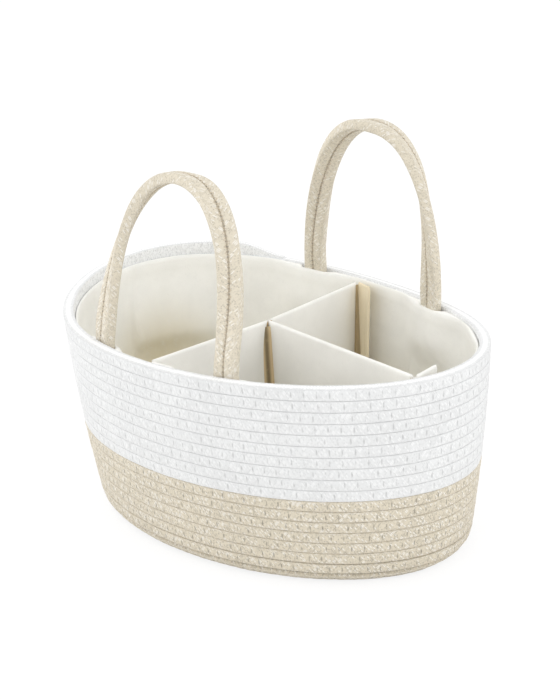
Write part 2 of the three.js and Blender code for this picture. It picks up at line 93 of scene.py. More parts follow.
class CaddySizes(PropertyGroup):
    """Sizes of the caddy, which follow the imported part."""

    length: metres("Length", "Outside length at the rim", 0.38)
    width: metres("Width", "Outside width at the rim", 0.258)
    rope: metres("Rope", "Thickness of the wound rope", 0.0084)
    pitch: metres("Row pitch", "Height of one row", 0.0086)
    foot: metres("Foot radius", "Round between base and wall", 0.012)
    low_lean: degrees("Low lean", "Lean of the wall above the foot", 10)
    top_lean: degrees("Top lean", "Lean of the wall at the rim", 4)
    back_lift: metres("Back lift", "How much the rim rises at the back left", 0.017)
    lift_at: degrees("Lift at", "Where the rim stands highest", 150)
    lift_spread: degrees("Lift spread", "How far the rise reaches each way", 86)
    stitch: metres("Stitch", "Distance between needle holes", 0.0087)
    cloth: metres("Cloth", "Thickness of the lining's cloth", 0.001)
    lining_drop: metres("Lining drop", "The lining's edge below the middle of the top row", 0.005)
    handle_rise: metres("Handle rise", "Height of a handle above its hinge line", 0.124)
    front_span: metres("Front span", "Half the distance between the front handle's feet", 0.066)
    rear_span: metres("Rear span", "Half the distance between the rear handle's feet", 0.06426)
    front_lean: degrees("Front handle lean", "Inward lean of the front handle", 14)
    rear_lean: degrees("Rear handle lean", "Outward lean of the rear handle", 1)
    strap_gap: metres("Strap gap", "Gap between a handle's two ropes", 0.0004)
    tail: metres("Tail", "How deep a handle's ends are sewn in", 0.03)


class CaddyColours(PropertyGroup):
    """Colours of the caddy's materials, as linear values."""

    white_rope: dye("White rope", "Colour of the upper rows", (0.787, 0.793, 0.793))
    natural_rope: dye("Natural rope", "Colour of the lower rows", (0.715, 0.65, 0.525))
    handle_rope: dye("Handle rope", "Colour of the handles", (0.735, 0.672, 0.55))
    thread: dye("Thread", "Colour of the handles' sewing thread", (0.66, 0.56, 0.42))
    lining: dye("Lining", "Colour of the lining's cloth", (0.945, 0.937, 0.895))
    divider: dye("Dividers", "Colour of the dividers' cloth", (0.93, 0.92, 0.88))
    # The rear tab's browner cloth is painted shade, for its place in the narrow fold beside the rear divider.
    tab: dye("Rear tab", "Colour of the rear tab's cloth", (0.84, 0.735, 0.53))
    # The hinge tape's brown is painted shade for the groove where the dividers meet and for the rear tab's fold.
    tape: dye("Hinge tape", "Colour of the tape at the dividers' junction", (0.7, 0.55, 0.33))
    board: dye("Board", "Colour of the stiffener inside the dividers", (0.48, 0.35, 0.19))


class CaddyStudio(PropertyGroup):
    """Camera and lights."""

    azimuth: degrees("Azimuth", "Camera's turn to the right of the front", 47.08)
    elevation: degrees("Elevation", "Camera's angle above the table", 18.49)
    roll: degrees("Roll", "Camera's tilt", -3.51)
    distance: metres("Distance", "From the camera to the caddy", 1.42058)
    aside: metres("Aside", "Camera's shift to the right", 0.00502)
    above: metres("Above", "Camera's shift upward", 0.03894)
    focal: FloatProperty(name="Focal length", description="In pixels of a picture 700 high", default=1850.2)
    key: watts("Key light", "Power of the large lamp at the left", 4.4)
    fill: watts("Fill light", "Power of the lamp in front", 0.85)
    side: watts("Side light", "Power of the lamp at the right", 2.95)
    sky: FloatProperty(name="Sky", description="Strength of the light from all sides", default=1.08)


# Formulas

def turn_away(turn, centre):
    """How far round the basket a turn is from another, either way."""
    return np.abs((np.asarray(turn) - centre + math.pi) % (2 * math.pi) - math.pi)


def ridge(values, *waves):
    """A smooth, repeatable unevenness: the sum of sine waves, each with a size, a rate and a phase per value."""
    total = 0.0
    for size, rates, phase in waves:
        total = total + size * np.sin(phase + sum(value * rate for value, rate in zip(values, rates)))
    return total


def ease(value):
    """0 up to 0, 1 from 1 on, smooth between."""
    value = np.clip(value, 0, 1)
    return value * value * (3 - 2 * value)


def bell(value, wide):
    """1 at 0, falling off smoothly to both sides."""
    return np.exp(-(value / wide) ** 2)


def unit(vectors):
    size = np.linalg.norm(vectors, axis=-1, keepdims=True)
    return vectors / np.maximum(size, 1e-12)


def distances(points):
    """How far along a line each of its points is."""
    return np.concatenate([[0], np.cumsum(np.linalg.norm(np.diff(points, axis=0), axis=1))])


def sample(at, values, places):
    """Values that are known at some distances, read off at other places."""
    return np.stack([np.interp(places, at, column) for column in values.T], -1)


def resample(table, spacing):
    """Rows of a table at even distances along its first three columns, and those distances."""
    at = distances(table[:, :3])
    even = np.linspace(0, at[-1], max(2, int(round(at[-1] / spacing))) + 1)
    return sample(at, table, even), even


def smoothed(table, rounds):
    """Evens out a table's rows between its two ends."""
    for _ in range(rounds):
        table[1:-1] = (table[:-2] + 2 * table[1:-1] + table[2:]) / 4
    return table


# The basket's shape

class Basket:
    """The winding, its wall and its rim as formulas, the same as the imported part's but smooth between stations."""

    def __init__(self, sizes):
        self.sizes = sizes
        self.radius = sizes.rope / 2
        self.pitch = sizes.pitch
        self.face = self.radius + CLEAR
        self.strap = sizes.rope + CLEAR
        self.climb = self.pitch * WALL_STEPS / TURN_STEPS
        self.foot_climb = sizes.foot * (math.pi / 2 - sizes.low_lean)
        self.bow = (self.climb - self.foot_climb) / (sizes.low_lean - sizes.top_lean)
        rim_out, self.rim_up, _ = (float(value) for value in self.profile(self.climb))
        self.half_length = sizes.length / 2 - self.radius - rim_out
        self.half_width = sizes.width / 2 - self.radius - rim_out
        self.core = self.half_length - self.half_width

    def profile(self, climb):
        """How far out and up the rope's middle is, and the wall's tilt there."""
        climb = np.asarray(climb, float)
        foot, low_lean = self.sizes.foot, self.sizes.low_lean
        turn = np.clip(climb, 0, self.foot_climb) / foot
        lean = low_lean - np.maximum(climb - self.foot_climb, 0) / self.bow
        out = np.minimum(climb, 0) + foot * np.sin(turn) + self.bow * (np.cos(lean) - math.cos(low_lean))
        up = foot * (1 - np.cos(turn)) + self.bow * (math.sin(low_lean) - np.sin(lean))
        return out, up, np.where(climb > self.foot_climb, math.pi / 2 - lean, turn)

    def outward(self, turn):
        """The outward direction seen from above."""
        x = np.cos(turn) * self.sizes.width
        y = np.sin(turn) * self.sizes.length
        size = np.hypot(x, y)
        x, y = x / size, y / size
        return np.where(np.abs(x) < 1e-9, 0.0, x), np.where(np.abs(y) < 1e-9, 0.0, y)

    def plan(self, turn, half_width, side=None):
        """A loop's point seen from above: straight-sided near the core, elliptical at the foot."""
        x, y = self.outward(turn)
        half_width = np.asarray(half_width, float)
        half_length = self.core + half_width
        size = np.maximum(np.hypot(half_length * x, half_width * y), 1e-9)
        share = np.clip(half_width / self.half_width, 0, 1)
        side = np.sign(x) if side is None else side
        at_x = (1 - share) * (self.core * side + half_width * x) + share * half_length ** 2 * x / size
        at_y = (1 - share) * half_width * y + share * half_width ** 2 * y / size
        return at_x, at_y

    def lift(self, turn):
        """The wall's stretch upward, which raises the rim at the back left."""
        shape = np.cos(np.clip(turn_away(turn, self.sizes.lift_at) / self.sizes.lift_spread, 0, 1) * math.pi / 2)
        return 1 + shape ** 2 * self.sizes.back_lift / self.rim_up

    def wall(self, turn, climb, inset=0.0):
        """A point of the wall, moved inward from the rope's middle."""
        turn, climb, inset = np.broadcast_arrays(np.asarray(turn, float), climb, inset)
        out, up, tilt = self.profile(climb)
        x, y = self.outward(turn)
        at_x, at_y = self.plan(turn, self.half_width + out)
        away = -inset * np.sin(tilt)
        high = self.radius + up * self.lift(turn) + inset * np.cos(tilt)
        return np.stack([at_x + x * away, at_y + y * away, high], -1)

    def rim_climb(self, turn):
        """How far up the wall the top row's middle is."""
        return self.climb - self.pitch * ((turn - END_TURN) % (2 * math.pi)) / (2 * math.pi)

    def base_layout(self):
        """Steps and pitch of the flat spiral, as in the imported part."""
        half_turn = TURN_STEPS / 2
        start = TURN_STEPS / 4 + 1
        phase = (start - END_TURN * TURN_STEPS / (2 * math.pi) - WALL_STEPS) % half_turn
        ideal = (self.half_width / self.pitch - 0.25) * TURN_STEPS
        steps = round((ideal - phase) / half_turn) * half_turn + phase
        return steps, self.half_width / (steps / TURN_STEPS + 0.25)

    def floor_seam(self):
        """Where the wall's lining meets the floor's: the turn up the foot's round, and how far out that is."""
        inner = self.sizes.foot - self.face
        turn = math.acos((self.sizes.foot - self.face - self.sizes.cloth) / inner)
        return turn, inner * math.sin(turn)


# Meshes

def faces_out(points, faces):
    """Whether the faces of a closed mesh look outward."""
    first = points[faces[:, 0]]
    volume = 0.0
    for one in range(1, faces.shape[1] - 1):
        volume += np.einsum("ij,ij->i", first, np.cross(points[faces[:, one]], points[faces[:, one + 1]])).sum()
    return volume >= 0


def loft(rings, along, closed=False, across=None):
    """A closed skin over rings of points. Gives points, faces and a place in metres for each face corner."""
    count, sides = rings.shape[:2]
    points = rings.reshape(-1, 3)
    row, side = np.meshgrid(np.arange(count if closed else count - 1), np.arange(sides), indexing="ij")
    after_row, after_side = (row + 1) % count, (side + 1) % sides
    faces = np.stack([row * sides + side, row * sides + after_side,
                      after_row * sides + after_side, after_row * sides + side], -1).reshape(-1, 4)
    along = np.append(np.asarray(along, float), 0.0)
    if closed:
        along[-1] = along[-2] + np.linalg.norm(rings[0, 0] - rings[-1, 0])
    across = np.arange(sides + 1) / sides if across is None else across
    corners = ((row, side), (row, side + 1), (row + 1, side + 1), (row + 1, side))
    places = np.stack([np.stack([along[one], across[other]], -1) for one, other in corners], 2)
    places = places.reshape(-1, 4, 2)
    flip = not faces_out(points, faces)
    if flip:
        faces, places = faces[:, ::-1], places[:, ::-1]
    faces, places = faces.tolist(), places.reshape(-1, 2).tolist()
    if not closed:
        for number, turned in ((0, not flip), (count - 1, flip)):
            ring = list(range(number * sides, (number + 1) * sides))
            faces.append(ring[::-1] if turned else ring)
            places += [[along[number], 0.5]] * sides
    return points, faces, places


def joined(*shells):
    """Several shells as one mesh."""
    points, faces, places, first = [], [], [], 0
    for shell_points, shell_faces, shell_places in shells:
        points.append(shell_points)
        faces += [[corner + first for corner in face] for face in shell_faces]
        places += list(shell_places)
        first += len(shell_points)
    return np.concatenate(points), faces, places


def placed(name, data):
    """Adds an object to the scene."""
    made = bpy.data.objects.new(name, data)
    bpy.context.scene.collection.objects.link(made)
    return made


def piece(name, shell, material, body, replaces=()):
    """Adds a mesh piece that rides on a body and stands for the named nodes."""
    points, faces, places = shell
    mesh = bpy.data.meshes.new(name)
    mesh.from_pydata(np.asarray(points).tolist(), [], faces)
    mesh.uv_layers.new(name="cut")
    mesh.uv_layers["cut"].uv.foreach_set("vector", np.asarray(places, np.float32).ravel())
    mesh.polygons.foreach_set("use_smooth", [True] * len(mesh.polygons))
    mesh.materials.append(material)
    mesh.update()
    made = placed(name, mesh)
    if body:
        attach(made, body)
    if replaces:
        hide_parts(*replaces)
    return made


def oval_rings(centre, one, other, half_one, half_other, sides, square):
    """Rings of a rounded-square section. Their first point lies in the first direction."""
    angle = np.arange(sides) * 2 * math.pi / sides
    first, second = (np.sign(wave) * np.abs(wave) ** (2 / square) for wave in (np.cos(angle), np.sin(angle)))
    return (centre[:, None] + one[:, None] * (half_one[:, None] * first)[..., None]
            + other[:, None] * (half_other[:, None] * second)[..., None])


def rounded_ends(rings, at, centre, tangent, lengths, shares, step):
    """Adds smaller and smaller rings at both ends of a rope. Gives the rings and the distances along them."""
    caps = [np.array([centre[end] + tangent[end] * (way * lengths[end] * share)
                      + (rings[end] - centre[end]) * math.sqrt(1 - share * share) for share in shares])
            for end, way in ((0, -1), (-1, 1))]
    beyond = step * np.arange(1, len(shares) + 1)
    return (np.concatenate([caps[0][::-1], rings, caps[1]]),
            np.concatenate([at[0] - beyond[::-1], at, at[-1] + beyond]))


# Materials

def both_ways(operation):
    """A Math operation on a value and another, and the same with the two swapped."""
    return (lambda value, other: value.math(operation, value, other),
            lambda value, other: value.math(operation, other, value))


class Wire:
    """A shader value whose arithmetic adds Math nodes."""

    __add__, __radd__ = both_ways("ADD")
    __sub__, __rsub__ = both_ways("SUBTRACT")
    __mul__, __rmul__ = both_ways("MULTIPLY")
    __truediv__, __rtruediv__ = both_ways("DIVIDE")
    __pow__, __rpow__ = both_ways("POWER")
    __mod__, __rmod__ = both_ways("FLOORED_MODULO")

    def __init__(self, sheet, socket):
        self.sheet = sheet
        self.socket = socket

    def math(self, operation, *values):
        return self.sheet.add("ShaderNodeMath", {"operation": operation}, dict(enumerate(values))).out()

    def __abs__(self):
        return self.math("ABSOLUTE", self)

    def sine(self):
        return self.math("SINE", self)

    def whole(self):
        return self.math("FLOOR", self)

    def least(self, other):
        return self.math("MINIMUM", self, other)

    def most(self, other):
        return self.math("MAXIMUM", self, other)

    def ease(self, low, high):
        """0 at low, 1 at high, smooth between."""
        settings = {"interpolation_type": "SMOOTHSTEP", "clamp": True}
        return self.sheet.add("ShaderNodeMapRange", settings, {"Value": self, "From Min": low, "From Max": high}).out()


class Made:
    """A node that was added, and its outputs."""

    def __init__(self, sheet, node):
        self.sheet = sheet
        self.node = node

    def out(self, key=0):
        return Wire(self.sheet, self.node.outputs[key])


class Finish:
    """A material, or a world, whose nodes all come from one method."""

    def __init__(self, name, kind="materials"):
        self.material = getattr(bpy.data, kind).new(name)
        self.material.use_nodes = True
        self.tree = self.material.node_tree
        self.tree.nodes.clear()

    def add(self, kind, settings=None, values=None):
        """Adds a node, with its settings first and then the values or links of its sockets."""
        node = self.tree.nodes.new(kind)
        for key, value in (settings or {}).items():
            setattr(node, key, value)
        for key, value in (values or {}).items():
            if isinstance(value, Wire):
                self.tree.links.new(value.socket, node.inputs[key])
            else:
                node.inputs[key].default_value = value
        return Made(self, node)

    def seen(self):
        """1 where the camera, a reflection or clear material looks at it, and 0 where it gives light."""
        path = self.add("ShaderNodeLightPath")
        return path.out("Is Camera Ray").most(path.out("Is Glossy Ray")).most(path.out("Is Transmission Ray"))

    def place(self):
        """The place in the caddy."""
        return self.add("ShaderNodeTexCoord").out("Object")

    def parts(self, vector):
        """The three parts of a vector."""
        split = self.add("ShaderNodeSeparateXYZ", None, {0: vector})
        return [split.out(number) for number in range(3)]

    def cut_place(self):
        """The place on the piece in metres along it, and its second place across or round it."""
        return self.parts(self.add("ShaderNodeUVMap", {"uv_map": "cut"}).out())[:2]

    def noise(self, scale, detail, rough):
        values = {"Vector": self.place(), "Scale": scale, "Detail": detail, "Roughness": rough}
        return self.add("ShaderNodeTexNoise", None, values).out("Fac")

    def away(self, point):
        """How far the place is from a point."""
        return self.add("ShaderNodeVectorMath", {"operation": "DISTANCE"}, {0: self.place(), 1: point}).out("Value")

    def blend(self, share, one, other):
        """Mixes two colours."""
        return self.add("ShaderNodeMix", {"data_type": "RGBA"}, {0: share, 6: one, 7: other}).out(2)

    def layered(self, base, *layers):
        """Lays colours over a base, one after another, each with its own share."""
        for share, colour in layers:
            base = self.blend(share, base, colour)
        return base

    def braid(self, along, around, length, columns, stretch=1):
        """The crossings of a braided sheath: a random number for each, and how far each stands out."""
        one = along / length + around * columns
        other = (along / length - around * columns) / stretch
        cell = self.add("ShaderNodeCombineXYZ", None, {0: one.whole(), 1: other.whole()}).out()
        pick = self.add("ShaderNodeTexWhiteNoise", {"noise_dimensions": "2D"}, {"Vector": cell}).out("Value")
        return pick, ((one % 1.0) * math.pi).sine() * ((other % 1.0) * math.pi).sine()

    def bump(self, height, strength, distance):
        values = {"Height": height, "Strength": strength, "Distance": distance}
        return self.add("ShaderNodeBump", None, values).out()

    def close(self, colour, rough, normal, sheen=0.0):
        """Ends a material of cloth, thread or board, which are all dull."""
        values = {"Base Color": colour, "Roughness": rough, "Normal": normal,
                  "Sheen Weight": sheen, "Specular IOR Level": 0.25}
        shader = self.add("ShaderNodeBsdfPrincipled", None, values)
        self.add("ShaderNodeOutputMaterial", None, {"Surface": shader.out()})
        return self.material


def shade(colour, *shares):
    """A colour times one share, or each part times its own."""
    shares = shares * 3 if len(shares) == 1 else shares
    return tuple(min(1.0, part * share) for part, share in zip(colour, shares)) + (1.0,)


def bleached(colour, share):
    """A colour moved a share of the way to white."""
    return tuple(part * (1 - share) + share for part in colour) + (1.0,)


# Shares of pale and deep yarns with how far each departs from the rope's colour, how dark the needle holes are painted
# (painted shade), and how much of the lines between rows changes with the share of the rope's colour that it changes
# to: a darker thread line on the natural rope, a paler line on the white rope as painted light against the shade
# between rows
ROPE_LOOKS = {
    "white_rope": {"pale": (0.3, 0.36), "deep": (0.26, 0.13), "hole": 0.34, "edge": (1.0, 1.26)},
    "natural_rope": {"pale": (0.26, 0.46), "deep": (0.24, 0.4), "hole": 0.66, "edge": (0.7, 0.4)},
    "handle_rope": {"pale": (0.2, 0.42), "deep": (0.22, 0.3), "hole": 0.75, "edge": (0.0, 1.0), "slash": 4.0},
}

# The rope's girth, which turns a share of the way round it into metres
GIRTH = 0.0264

# The sheath's braids: the length of a crossing, and crossings round the rope
YARN_BRAID, SLANT_BRAID, FINE_BRAID = (0.0016, 25), (0.0014, 29), (0.0012, 30)

# Half a needle hole along and across the rope, the stitches and width of the line between rows, and the wall's left
# end, where the rows lie tight and the natural rope's line fades out as painted light for that brightly lit end
HOLE_LONG, HOLE_WIDE = 0.0005, 0.001
SEAM_STITCH, SEAM_WIDE, SEAM_CORE = 0.0022, 0.0012, 0.0003
LIT_LEFT_END = (-0.19, -0.03, 0.05)


def rope_finish(name, colour, stitch, hole_shares, pale, deep, hole, edge, slash=2.5):
    """Cotton rope with a braided sheath of mixed yarns, painted shade in its needle holes, and lines between rows that
    are partly painted light.
    """
    sheet = Finish(name)
    along, around = sheet.cut_place()
    pick, stand = sheet.braid(along, around, *YARN_BRAID)
    slant, lie = sheet.braid(along, around, *SLANT_BRAID, slash)
    fine, _ = sheet.braid(along, around, *FINE_BRAID)
    fibre = sheet.noise(1000, 3, 0.6)
    tone = sheet.noise(24, 2, 0.5)
    (pale_share, pale_step), (deep_share, deep_step), (edge_share, edge_shade) = pale, deep, edge

    # Painted shade: the needle holes are darkened.
    beside = abs((along / stitch) % 1.0 - 0.5) * stitch
    holes = 0.0
    for share in hole_shares:
        away = abs(around - share) * GIRTH
        holes = ((beside / HOLE_LONG) ** 2.0 + (away / HOLE_WIDE) ** 2.0).ease(1.8, 0.2).most(holes)
    holes = holes * sheet.noise(90, 2, 0.6).ease(0.3, 0.58)

    light = slant.ease(0.97 - pale_share, 1.03 - pale_share) * lie.ease(0.05, 0.55)
    dark = pick.ease(deep_share + 0.03, deep_share - 0.03) * stand.ease(0.1, 0.6)
    base = sheet.blend(tone.ease(0.35, 0.7), shade(colour, 0.975), shade(colour, 1.02))
    # Painted light: the white rope's inner side, which faces into the basket, is made paler against the shade there.
    if edge_shade > 1:
        base = sheet.blend(abs(around - 0.5).ease(0.3, 0.42), base, shade(colour, 1.2))
    # The line between rows: on the natural rope a dotted thread line, faded at the left end as painted light; on the
    # white rope a paler line, painted light against the shade in the grooves.
    gap = abs(around - 0.25).least(abs(around - 0.75)) * GIRTH
    dots = (along * (2 * math.pi / SEAM_STITCH)).sine().ease(-0.9, 0.5) * 0.6 + 0.4
    seam = gap.ease(SEAM_WIDE, SEAM_CORE) * dots * edge_share
    if edge_shade < 1:
        seam = seam * sheet.away(LIT_LEFT_END).ease(0.05, 0.2)
    base = sheet.layered(
        base,
        (fine.ease(0.4, 1.0) * 0.6, shade(colour, 1 - deep_step * 0.6)),
        (dark * 0.8, shade(colour, 1 - deep_step)),
        (light * 0.9, bleached(colour, pale_step)),
        (fibre.ease(0.46, 0.28) * 0.5, shade(colour, 1 - deep_step * 0.9)),
        (seam, shade(colour, edge_shade)),
        (holes * hole, shade(colour, 0.3)),
    )
    height = stand * 0.5 + lie * 0.4 + fibre * 0.8 - holes * 1.6
    return sheet.close(base, 0.86 + fibre * 0.1, sheet.bump(height, 0.5, 0.00035), 0.1)


# The weave's pitch, how far its threads drift, the heights between which painted shade makes the cloth browner
# lower down, the reach of a painted shadow patch, and the width and core of the painted shade along a fold
WEAVE_PITCH, WEAVE_DRIFT = 0.0007, 0.0016
UNSHADED_HEIGHT, FULL_SHADE_HEIGHT = 0.118, 0.04
SHADOW_REACH = 0.07
FOLD_REACH, FOLD_CORE = 0.0036, 0.0006


def cloth_finish(name, colour, fold=None, corner=None):
    """Plain woven cotton with slubs and mottling, with painted shade lower down, in a fold across it and round a
    point.
    """
    yarn = 2 * math.pi / WEAVE_PITCH
    sheet = Finish(name)
    along, across = sheet.cut_place()
    drift = sheet.noise(60, 2, 0.5) * WEAVE_DRIFT
    weave = ((along + drift) * yarn).sine() * ((across + drift) * yarn).sine()
    fibre = sheet.noise(1300, 3, 0.6)
    mottle = sheet.noise(34, 3, 0.55)
    streak = sheet.noise(210, 2, 0.5)
    # Painted shade: the cloth is browner towards the bottom of the basket.
    layers = [(sheet.parts(sheet.place())[2].ease(UNSHADED_HEIGHT, FULL_SHADE_HEIGHT), shade(colour, 0.91, 0.88, 0.78))]
    # Painted shadow: a brownish patch round the given point.
    if corner:
        layers.append((sheet.away(corner).ease(SHADOW_REACH, 0.0), shade(colour, 0.76, 0.69, 0.54)))
    # Painted shade: a dark line along the fold.
    if fold:
        layers.append((abs(across - fold).ease(FOLD_REACH, FOLD_CORE), shade(colour, 0.36)))
    layers.append((streak.ease(0.55, 0.78) * 0.25, shade(colour, 0.9)))
    layers.append((fibre.ease(0.45, 0.3) * 0.3, shade(colour, 0.82)))
    base = sheet.blend(mottle.ease(0.3, 0.72), shade(colour, 0.965), shade(colour, 1.02))
    normal = sheet.bump(weave * 0.5 + fibre * 0.9 + streak * 0.5, 0.3, 0.00022)
    return sheet.close(sheet.layered(base, *layers), 0.84 + mottle * 0.1, normal, 0.1)


def board_finish(name, colour):
    """Pressed fibreboard with long fibres."""
    sheet = Finish(name)
    grain = sheet.noise(240, 4, 0.65)
    base = sheet.blend(grain.ease(0.35, 0.65), shade(colour, 0.8), shade(colour, 1.15))
    specks = sheet.add("ShaderNodeTexVoronoi", None, {"Vector": sheet.place(), "Scale": 700}).out("Distance")
    base = sheet.blend(specks.ease(0.35, 0.1) * 0.4, base, shade(colour, 0.6))
    return sheet.close(base, 0.72 + grain * 0.15, sheet.bump(grain, 0.4, 0.0003))


def thread_finish(name, colour):
    """Twisted sewing thread."""
    sheet = Finish(name)
    along, around = sheet.cut_place()
    twist = (along * (2 * math.pi / 0.0009) + around * (4 * math.pi)).sine()
    base = sheet.blend(twist.ease(-0.8, 0.8), shade(colour, 0.75), shade(colour, 1.05))
    return sheet.close(base, 0.6 + twist * 0.1, sheet.bump(twist, 0.4, 0.00008))


def made_once(finish, name, colour, *looks, **more):
    """A material, which is made when it is first asked for."""
    return bpy.data.materials.get(name) or finish(name, tuple(colour), *looks, **more)


def rope_material(context, kind, stitch, *hole_shares):
    colour = getattr(context.scene.caddy_colours, kind)
    return made_once(rope_finish, "braided_" + kind, colour, stitch, hole_shares, **ROPE_LOOKS[kind])


# A depth below 1 darkens the colour; the rear tab's fold uses it for painted shade.
def cloth_material(context, name, kind, depth=1.0, **marks):
    colour = [part * depth for part in getattr(context.scene.caddy_colours, kind)]
    return made_once(cloth_finish, name, colour, **marks)


# Rope

# Part of a winding step between two places, a rope's sides and rings to a stitch, and how deep the thread pulls
FINE_STEP = 0.1
ROPE_SIDES, STITCH_RINGS = 16, 4
THREAD_PULL = 0.0003
PULL_SHARES = (-0.35, 0.1, 1.0, 0.1)

# How much fuller the rows are where they press on each other, everywhere and from a place on towards the left end
PRESSED, PRESSED_LEFT = 0.00012, 0.0004
LEFT_FROM, LEFT_RUN = -0.07, 0.08

# Unevenness of the rope's thickness: each wave's size, rate and phase
WOBBLE = ((0.00007, (61.0,), 0.3), (0.00006, (147.0,), 1.9), (0.00004, (331.0,), 0.7))


def winding_turns(first, last):
    """Fine steps of the winding, and the way round the basket at each."""
    steps = first + np.arange(int(round((last - first) / FINE_STEP)) + 1) * FINE_STEP
    return zip(steps, END_TURN + np.radians((WALL_STEPS - steps) * 360 / TURN_STEPS))


def base_table(basket):
    """Places, outward directions, tilt and half sizes of the rope in the flat spiral."""
    steps, pitch = basket.base_layout()
    rows, before = [], 0
    for step, turn in winding_turns(-steps, 0):
        x, y = basket.outward(turn)
        half_width = basket.half_width + step * pitch / TURN_STEPS
        side = np.sign(x)
        if before and side and side != before:
            ahead = np.sign(y)
            for share in np.linspace(before, side, 15)[1:-1]:
                at_x, at_y = basket.plan(math.pi / 2 * ahead, half_width, share)
                rows.append([at_x, at_y, basket.radius, 0.0, ahead, 0.0, basket.radius, pitch / 2])
        if side:
            before = side
            at_x, at_y = basket.plan(turn, half_width)
            rows.append([at_x, at_y, basket.radius, x, y, 0.0, basket.radius, pitch / 2 - ROW_CLEAR])
    return np.array(rows, float)


def wall_table(basket, first, last):
    """The same for the wall's rope between two steps. Its rows have less room where the foot bends."""
    rows = []
    for step, turn in winding_turns(first, last):
        climb = step * basket.pitch / TURN_STEPS
        here, tilt = basket.wall(turn, climb), basket.profile(climb)[2]
        rooms = []
        for shift in (-basket.pitch, basket.pitch):
            bend = abs(basket.profile(climb + shift)[2] - tilt)
            apart = np.linalg.norm(basket.wall(turn, climb + shift) - here)
            rooms.append(apart - 0.55 * basket.radius * math.tan(bend / 2))
        rows.append([*here, *basket.outward(turn), tilt, basket.radius, min(rooms) / 2 - ROW_CLEAR])
    return np.array(rows, float)


def sewn_rope(table, stitch, taper=0.0, square=6.5):
    """A wound rope with its stitches pulled in, and the ends rounded or thinned out."""
    rows, at = resample(table, stitch / STITCH_RINGS)
    centre, tilt = rows[:, :3].copy(), rows[:, 5, None]
    flat = unit(rows[:, 3:5])
    out = np.concatenate([flat * np.sin(tilt), -np.cos(tilt)], 1)
    up = np.concatenate([flat * np.cos(tilt), np.sin(tilt)], 1)
    half_out, half_up = rows[:, 6] + ridge((at,), *WOBBLE), rows[:, 7].copy()
    if taper:
        thin = ease(1 - (at[-1] - at) / taper) * 0.86
        centre -= up * (half_up * thin)[:, None]
        half_out *= 1 - thin * 0.45
        half_up *= 1 - thin
    pressed = PRESSED + PRESSED_LEFT * ease((LEFT_FROM - centre[:, 0]) / LEFT_RUN)
    rings = oval_rings(centre, -out, up, half_out, half_up + pressed, ROPE_SIDES, square)
    pull = THREAD_PULL * np.array(PULL_SHARES)[np.arange(len(rings)) % STITCH_RINGS]
    middle = ROPE_SIDES // 2
    for side, share in ((middle, 1.0), (middle + 1, 0.4), (middle - 1, 0.4), (0, 1.0)):
        rings[:, side] -= unit(rings[:, side] - centre) * (pull * share)[:, None]
    tangent = unit(np.gradient(centre, axis=0))
    return loft(*rounded_ends(rings, at, centre, tangent, half_up * 0.5, (0.35, 0.7, 0.92), 0.0003))


# Handles

# Points of the arch and of a sewn end, how many of the arch's are dropped where the two meet, the line's final step,
# and the powers that square the arch's shoulders
ARCH_POINTS, TAIL_POINTS, DROPPED = 181, 9, 3
HANDLE_STEP = 0.0022
ARCH_ACROSS, ARCH_RISE = 0.84, 0.88

# The strap's ropes: how much each is pressed into the other, and the waves of their thickness. The sewing thread.
STRAP_PRESSED = 0.00014
STRAP_WOBBLE = [((0.00008, (73.0,), phase), (0.00006, (181.0,), 0.4)) for phase in (-1.3, 1.3)]
THREAD_RADIUS = 0.00026


def upright_from(axis):
    """The direction nearest to straight up that is square to an axis."""
    return unit(np.array([0, 0, 1.0]) - axis * axis[2])


def foot_turn(basket, x, side):
    """Where on the wall a handle's foot stands, from its place along the basket."""
    turns = np.linspace(0.0, math.pi, 2001) + (math.pi if side < 0 else 0.0)
    places = basket.wall(turns, basket.climb, basket.strap)[:, 0]
    return float(turns[np.argmin(np.abs(places - x))])


def handle_hinge(joint):
    """A handle's hinge: a point and its axis, turned towards the basket's right end."""
    axis = np.array(joint["axis"], float)
    return np.array(joint["pos_m"], float), axis * np.sign(axis[0])


def handle_line(basket, joint, half, lean, twist_way):
    """The middle line of a handle from one sewn end over the arch to the other, with the way across it."""
    pos, axis = handle_hinge(joint)
    upright = upright_from(axis)
    up = upright * math.cos(lean) + np.cross(upright, axis) * math.sin(lean)
    normal = np.cross(up, axis)
    turn = np.linspace(0, math.pi, ARCH_POINTS)
    across = -np.sign(np.cos(turn)) * np.abs(np.cos(turn)) ** ARCH_ACROSS
    rise = np.abs(np.sin(turn)) ** ARCH_RISE
    arch = pos + axis * (half * across)[:, None] + up * (basket.sizes.handle_rise * rise)[:, None]
    number = np.arange(ARCH_POINTS)
    tangent = unit(arch[np.minimum(number + 1, ARCH_POINTS - 1)] - arch[np.maximum(number - 1, 0)])
    over = unit(up * (tangent @ axis)[:, None] - axis * (tangent @ up)[:, None])
    length = distances(arch)
    twist = (twist_way * math.pi / 2 * np.abs(1 - 2 * length / length[-1]))[:, None]
    rows = np.concatenate([arch, normal * np.cos(twist) + over * np.sin(twist)], 1)
    ends = []
    for end in (0, -1):
        foot = arch[end]
        where = foot_turn(basket, foot[0], np.sign(pos[1]))
        climb = basket.rim_climb(where)
        x, y = basket.outward(where)
        way = np.array([-y, x, 0.0])
        way = way * np.sign(way @ rows[end, 3:])
        part = basket.wall(where, climb - np.linspace(basket.sizes.tail, 0.0, TAIL_POINTS), basket.strap)
        part[:, :2] += (foot[:2] - basket.wall(where, climb, basket.strap)[:2]) * 0.5
        ends.append(np.concatenate([part, np.tile(way, (TAIL_POINTS, 1))], 1))
    table = np.concatenate([ends[0], rows[DROPPED:-DROPPED], ends[1][::-1]])
    return resample(smoothed(resample(table, HANDLE_STEP)[0], 10), HANDLE_STEP)


